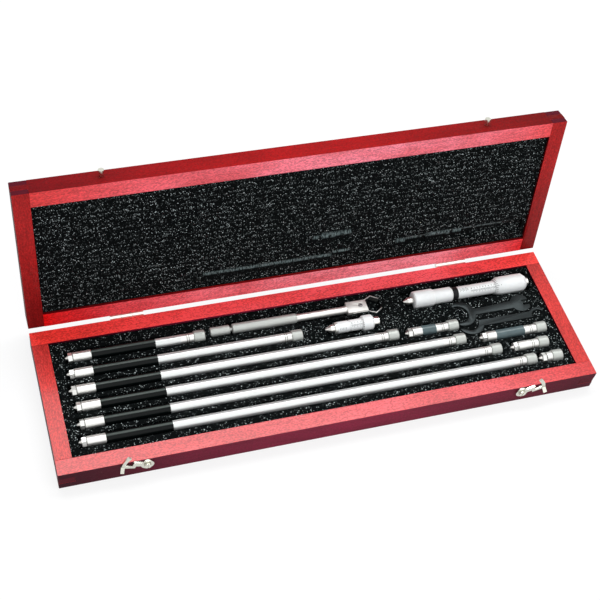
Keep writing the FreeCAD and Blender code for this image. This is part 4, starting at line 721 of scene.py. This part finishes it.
LARGE_TIP, LARGE_ROW = 84.4, 36.4
large_collar = turned_shape(
    ((8.3, 3.2), (8.3, 6.4), (9.1, 7.1), (9.5, 7.1), (24.5, 7.1), (24.9, 7.1), (25.7, 6.4),
     (25.7, 3.2)), 64, (9.5, 24.5), 0.75)
with_crisp_edges(add_piece("large_collar_knurls", set_down(large_collar, LARGE_TIP, LARGE_ROW),
                           "base", satin_chrome, ("large_head_collar",)))
THIMBLE_START, THIMBLE_END, THIMBLE_RADIUS = 79.8, 107.5, 7.7
BEVEL_LENGTH, EDGE_RADIUS = 2.9, 5.9
large_thimble = turned_shape(
    ((THIMBLE_START, 5.3), (THIMBLE_START, EDGE_RADIUS),
     (THIMBLE_START + BEVEL_LENGTH, THIMBLE_RADIUS - 0.1), (85.5, THIMBLE_RADIUS - 0.1),
     (102.5, THIMBLE_RADIUS - 0.1), (104.3, THIMBLE_RADIUS - 0.1), (THIMBLE_END - 0.3, 5.45),
     (THIMBLE_END, 5.2), (THIMBLE_END, 0.0), (105.2, 0.0), (105.2, 5.3)), 64, (85.5, 102.5), 0.75)
with_crisp_edges(add_piece("large_thimble_knurls", set_down(large_thimble, LARGE_TIP, LARGE_ROW),
                           "large_thimble", satin_chrome,
                           ("large_head_thimble",)))


def band_mark(start, end, radius, middle, sweep, end_radius=None):
    """A filled line on a turned surface, from start to end along it and sweep degrees round it.
    Zero degrees is on top and 90 at the front."""
    bm = bmesh.new()
    far = radius if end_radius is None else end_radius
    first = bm.verts.new((start * MM, 0.0, (radius + 0.015) * MM))
    last = bm.verts.new((end * MM, 0.0, (far + 0.015) * MM))
    bm.edges.new((first, last))
    bmesh.ops.rotate(bm, verts=bm.verts, cent=(0, 0, 0),
                     matrix=Matrix.Rotation(math.radians(middle - sweep / 2), 3, "X"))
    bmesh.ops.spin(bm, geom=bm.verts[:] + bm.edges[:], cent=(0, 0, 0), axis=(1, 0, 0),
                   angle=math.radians(sweep), steps=max(1, round(sweep / 6)))
    bmesh.ops.recalc_face_normals(bm, faces=bm.faces)
    if bm.faces and sum(f.normal.dot(f.calc_center_median()) for f in bm.faces) < 0:
        bmesh.ops.reverse_faces(bm, faces=bm.faces)
    bmesh.ops.solidify(bm, geom=bm.faces[:], thickness=0.03 * MM)
    return bm


def numeral(words, height, x, radius, middle):
    """A number that stands on a turned surface and reads from the front."""
    curve = bpy.data.curves.new("numeral", "FONT")
    curve.body = words
    curve.size = height * MM
    curve.align_x = "CENTER"
    curve.align_y = "CENTER"
    curve.resolution_u = 2
    curve.extrude = 0.02 * MM
    letter = bpy.data.objects.new("numeral", curve)
    mesh = bpy.data.meshes.new_from_object(letter)
    bpy.data.objects.remove(letter)
    bm = bmesh.new()
    bm.from_mesh(mesh)
    bpy.data.meshes.remove(mesh)
    bmesh.ops.translate(bm, verts=bm.verts, vec=(x * MM, 0, (radius + 0.01) * MM))
    bmesh.ops.rotate(bm, verts=bm.verts, cent=(0, 0, 0),
                     matrix=Matrix.Rotation(math.radians(middle), 3, "X"))
    return bm


def division_lines(first, count, radius, long_reach, short_reach):
    """Lines one thread pitch apart along a sleeve, every fourth one long."""
    lines = []
    for k in range(1, count + 1):
        reach = long_reach if k % 4 == 0 else short_reach
        x = first + k * THREAD_PITCH
        lines.append(band_mark(x, x + 0.18, radius, READING_ANGLE + reach / 2, reach))
    return lines


THREAD_PITCH = 0.635
# The scales are read 30 degrees in front of the top, and a turn has 25 divisions
READING_ANGLE, DIVISIONS = 30.0, 25
DIVISION_ANGLE = 360.0 / DIVISIONS
SLEEVE_RADIUS, SLEEVE_LINE = 5.1, 57.4
marks = [band_mark(SLEEVE_LINE, 82.3, SLEEVE_RADIUS, READING_ANGLE, 1.2)]
marks += division_lines(SLEEVE_LINE, 37, SLEEVE_RADIUS, 26.0, 14.0)
for k in range(9):
    x = SLEEVE_LINE + 1.0 + k * THREAD_PITCH * 4
    marks.append(numeral(str(k), 1.9, x, SLEEVE_RADIUS, 14.0))
for k in range(9):
    x = 48.2 + k * 0.9
    marks.append(band_mark(x, x + 0.22, SLEEVE_RADIUS, 12.0, 26.0 if k % 3 else 40.0))
add_piece("large_sleeve_scale", set_down(joined(marks), LARGE_TIP, LARGE_ROW), "base", scale_black)
bevel_rise = (THIMBLE_RADIUS - 0.1 - EDGE_RADIUS) / BEVEL_LENGTH
marks = []
for k in range(DIVISIONS):
    deep = 2.2 if k % 5 == 0 else 1.4
    angle = READING_ANGLE + k * DIVISION_ANGLE
    marks.append(band_mark(THIMBLE_START + 0.1, THIMBLE_START + 0.1 + deep,
                           EDGE_RADIUS + 0.1 * bevel_rise, angle, 2.2,
                           EDGE_RADIUS + (0.1 + deep) * bevel_rise))
    if k % 5 == 0:
        marks.append(numeral(str(k), 1.5, THIMBLE_START + BEVEL_LENGTH + 1.2, THIMBLE_RADIUS - 0.1,
                             angle))
add_piece("large_thimble_scale", set_down(joined(marks), LARGE_TIP, LARGE_ROW), "large_thimble",
          scale_black)


# Small measuring head: satin-chromed steel, made like the large one but slimmer. It has a short
# knurled thimble, and a plain button for its moving face.
dress(("small_head_sleeve",), satin_chrome)
dress(("small_head_contact", "small_head_anvil"), hard_contact)
dress(("small_head_screw", "small_head_ring"), turned_steel)
SMALL_TIP, SMALL_ROW = 13.7, 22.5
small_thimble = turned_shape(
    ((30.1, 4.75), (30.1, 5.4), (31.1, 6.25), (32.2, 6.25), (37.8, 6.25), (38.4, 6.25),
     (39.6, 5.15), (39.6, 0.0), (38.3, 0.0), (38.3, 4.75)), 56, (32.2, 37.8), 0.7)
with_crisp_edges(add_piece("small_thimble_knurls", set_down(small_thimble, SMALL_TIP, SMALL_ROW),
                           "small_thimble", satin_chrome,
                           ("small_head_thimble",)))
SMALL_SLEEVE_RADIUS, SMALL_SLEEVE_LINE = 4.6, 20.4
marks = [band_mark(SMALL_SLEEVE_LINE, 30.2, SMALL_SLEEVE_RADIUS, READING_ANGLE, 1.4)]
marks += division_lines(SMALL_SLEEVE_LINE, 14, SMALL_SLEEVE_RADIUS, 30.0, 16.0)
for k in range(4):
    x = SMALL_SLEEVE_LINE + 0.8 + k * THREAD_PITCH * 4
    marks.append(numeral(str(k), 1.7, x, SMALL_SLEEVE_RADIUS, 12.0))
for k in range(5):
    marks.append(band_mark(11.2 + k * 1.2, 11.4 + k * 1.2, SMALL_SLEEVE_RADIUS, 55.0, 24.0))
add_piece("small_sleeve_scale", set_down(joined(marks), SMALL_TIP, SMALL_ROW), "base", scale_black)
marks = [band_mark(30.15, 30.95, 5.4, READING_ANGLE + k * DIVISION_ANGLE, 2.4, 6.1)
         for k in range(DIVISIONS)]
add_piece("small_thimble_scale", set_down(joined(marks), SMALL_TIP, SMALL_ROW), "small_thimble",
          scale_black)


# Handle: holds a head out of reach. A knurled knob that turns on its stem, a knurled grip and a
# plain rod of steel, and a milled block that carries a bent spring clip under one slotted screw.
handle_steel = metal_finish("handle_steel", (0.48, 0.50, 0.475, 1.0), 0.5, 0.05, bare=0.4)
HANDLE_TIP, HANDLE_ROW = -76.1, 38.2
knob = turned_shape(((0.0, 0.0), (0.0, 3.1), (0.5, 3.65), (1.0, 3.65), (14.8, 3.65), (15.3, 3.65),
                     (15.8, 3.1), (15.8, 1.5), (17.9, 1.5), (17.9, 0.0)), 36, (1.0, 14.8), 0.65,
                    0.1, False)
with_crisp_edges(add_piece("handle_knob_knurls", set_down(knob, HANDLE_TIP, HANDLE_ROW),
                           "handle_knob", handle_steel, ("handle_knob",)))
grip = turned_shape(((17.9, 0.0), (17.9, 3.4), (18.4, 3.9), (19.2, 3.9), (69.0, 3.9), (69.8, 3.9),
                     (70.3, 3.4), (70.3, 0.0)), 38, (19.2, 69.0), 0.66, 0.1, False)
with_crisp_edges(add_piece("handle_grip_knurls", set_down(grip, HANDLE_TIP, HANDLE_ROW), "base",
                           handle_steel, ("handle_grip",)))
dress(("handle_rod",), turned_steel)
satin_block = metal_finish("satin_block", (0.66, 0.655, 0.63, 1.0), 0.5, 0.05, bare=0.7)
spring_steel = metal_finish("spring_steel", (0.42, 0.42, 0.41, 1.0), 0.34)
dark_steel = metal_finish("dark_steel", (0.22, 0.21, 0.21, 1.0), 0.35)
for node_name, width, finish, slot in (
    ("handle_block", 0.3, satin_block, "fitting_metal"),
    ("handle_clip", 0.1, spring_steel, "spring_steel"),
    ("handle_clip_screw", 0.25, dark_steel, "screw_steel"),
):
    with_crisp_edges(add_piece(node_name + "_finished", milled_copy(node_name, width), "base",
                               finish, (node_name,)))
# The screw head's slot is a thin black bar laid on it: painted shade.
bm = bmesh.new()
bmesh.ops.create_cube(bm, size=1.0)
bmesh.ops.scale(bm, verts=bm.verts, vec=(3.2 * MM, 0.5 * MM, 0.1 * MM))
bmesh.ops.rotate(bm, verts=bm.verts, cent=(0, 0, 0),
                 matrix=Matrix.Rotation(math.radians(35), 3, "Z"))
bmesh.ops.bevel(bm, geom=bm.edges[:], offset=0.02 * MM, offset_type="OFFSET", segments=1,
                profile=0.5, affect="EDGES", material=-1)
bmesh.ops.translate(bm, verts=bm.verts, vec=(47.9 * MM, HANDLE_ROW * MM, 18.67 * MM))
add_piece("clip_screw_slot_shade", bm, "base", scale_black)


# Spanners: two flat ones for adjusting the heads, blanked from steel plate, tumbled to break
# their edges, and blackened.
spanner_black = metal_finish("spanner_black", (0.026, 0.031, 0.032, 1.0), 0.42, 0.05)
for node_name in ("spanner_upper", "spanner_lower"):
    with_crisp_edges(add_piece(node_name + "_plate", milled_copy(node_name, 0.3), "base",
                               spanner_black, (node_name,)))
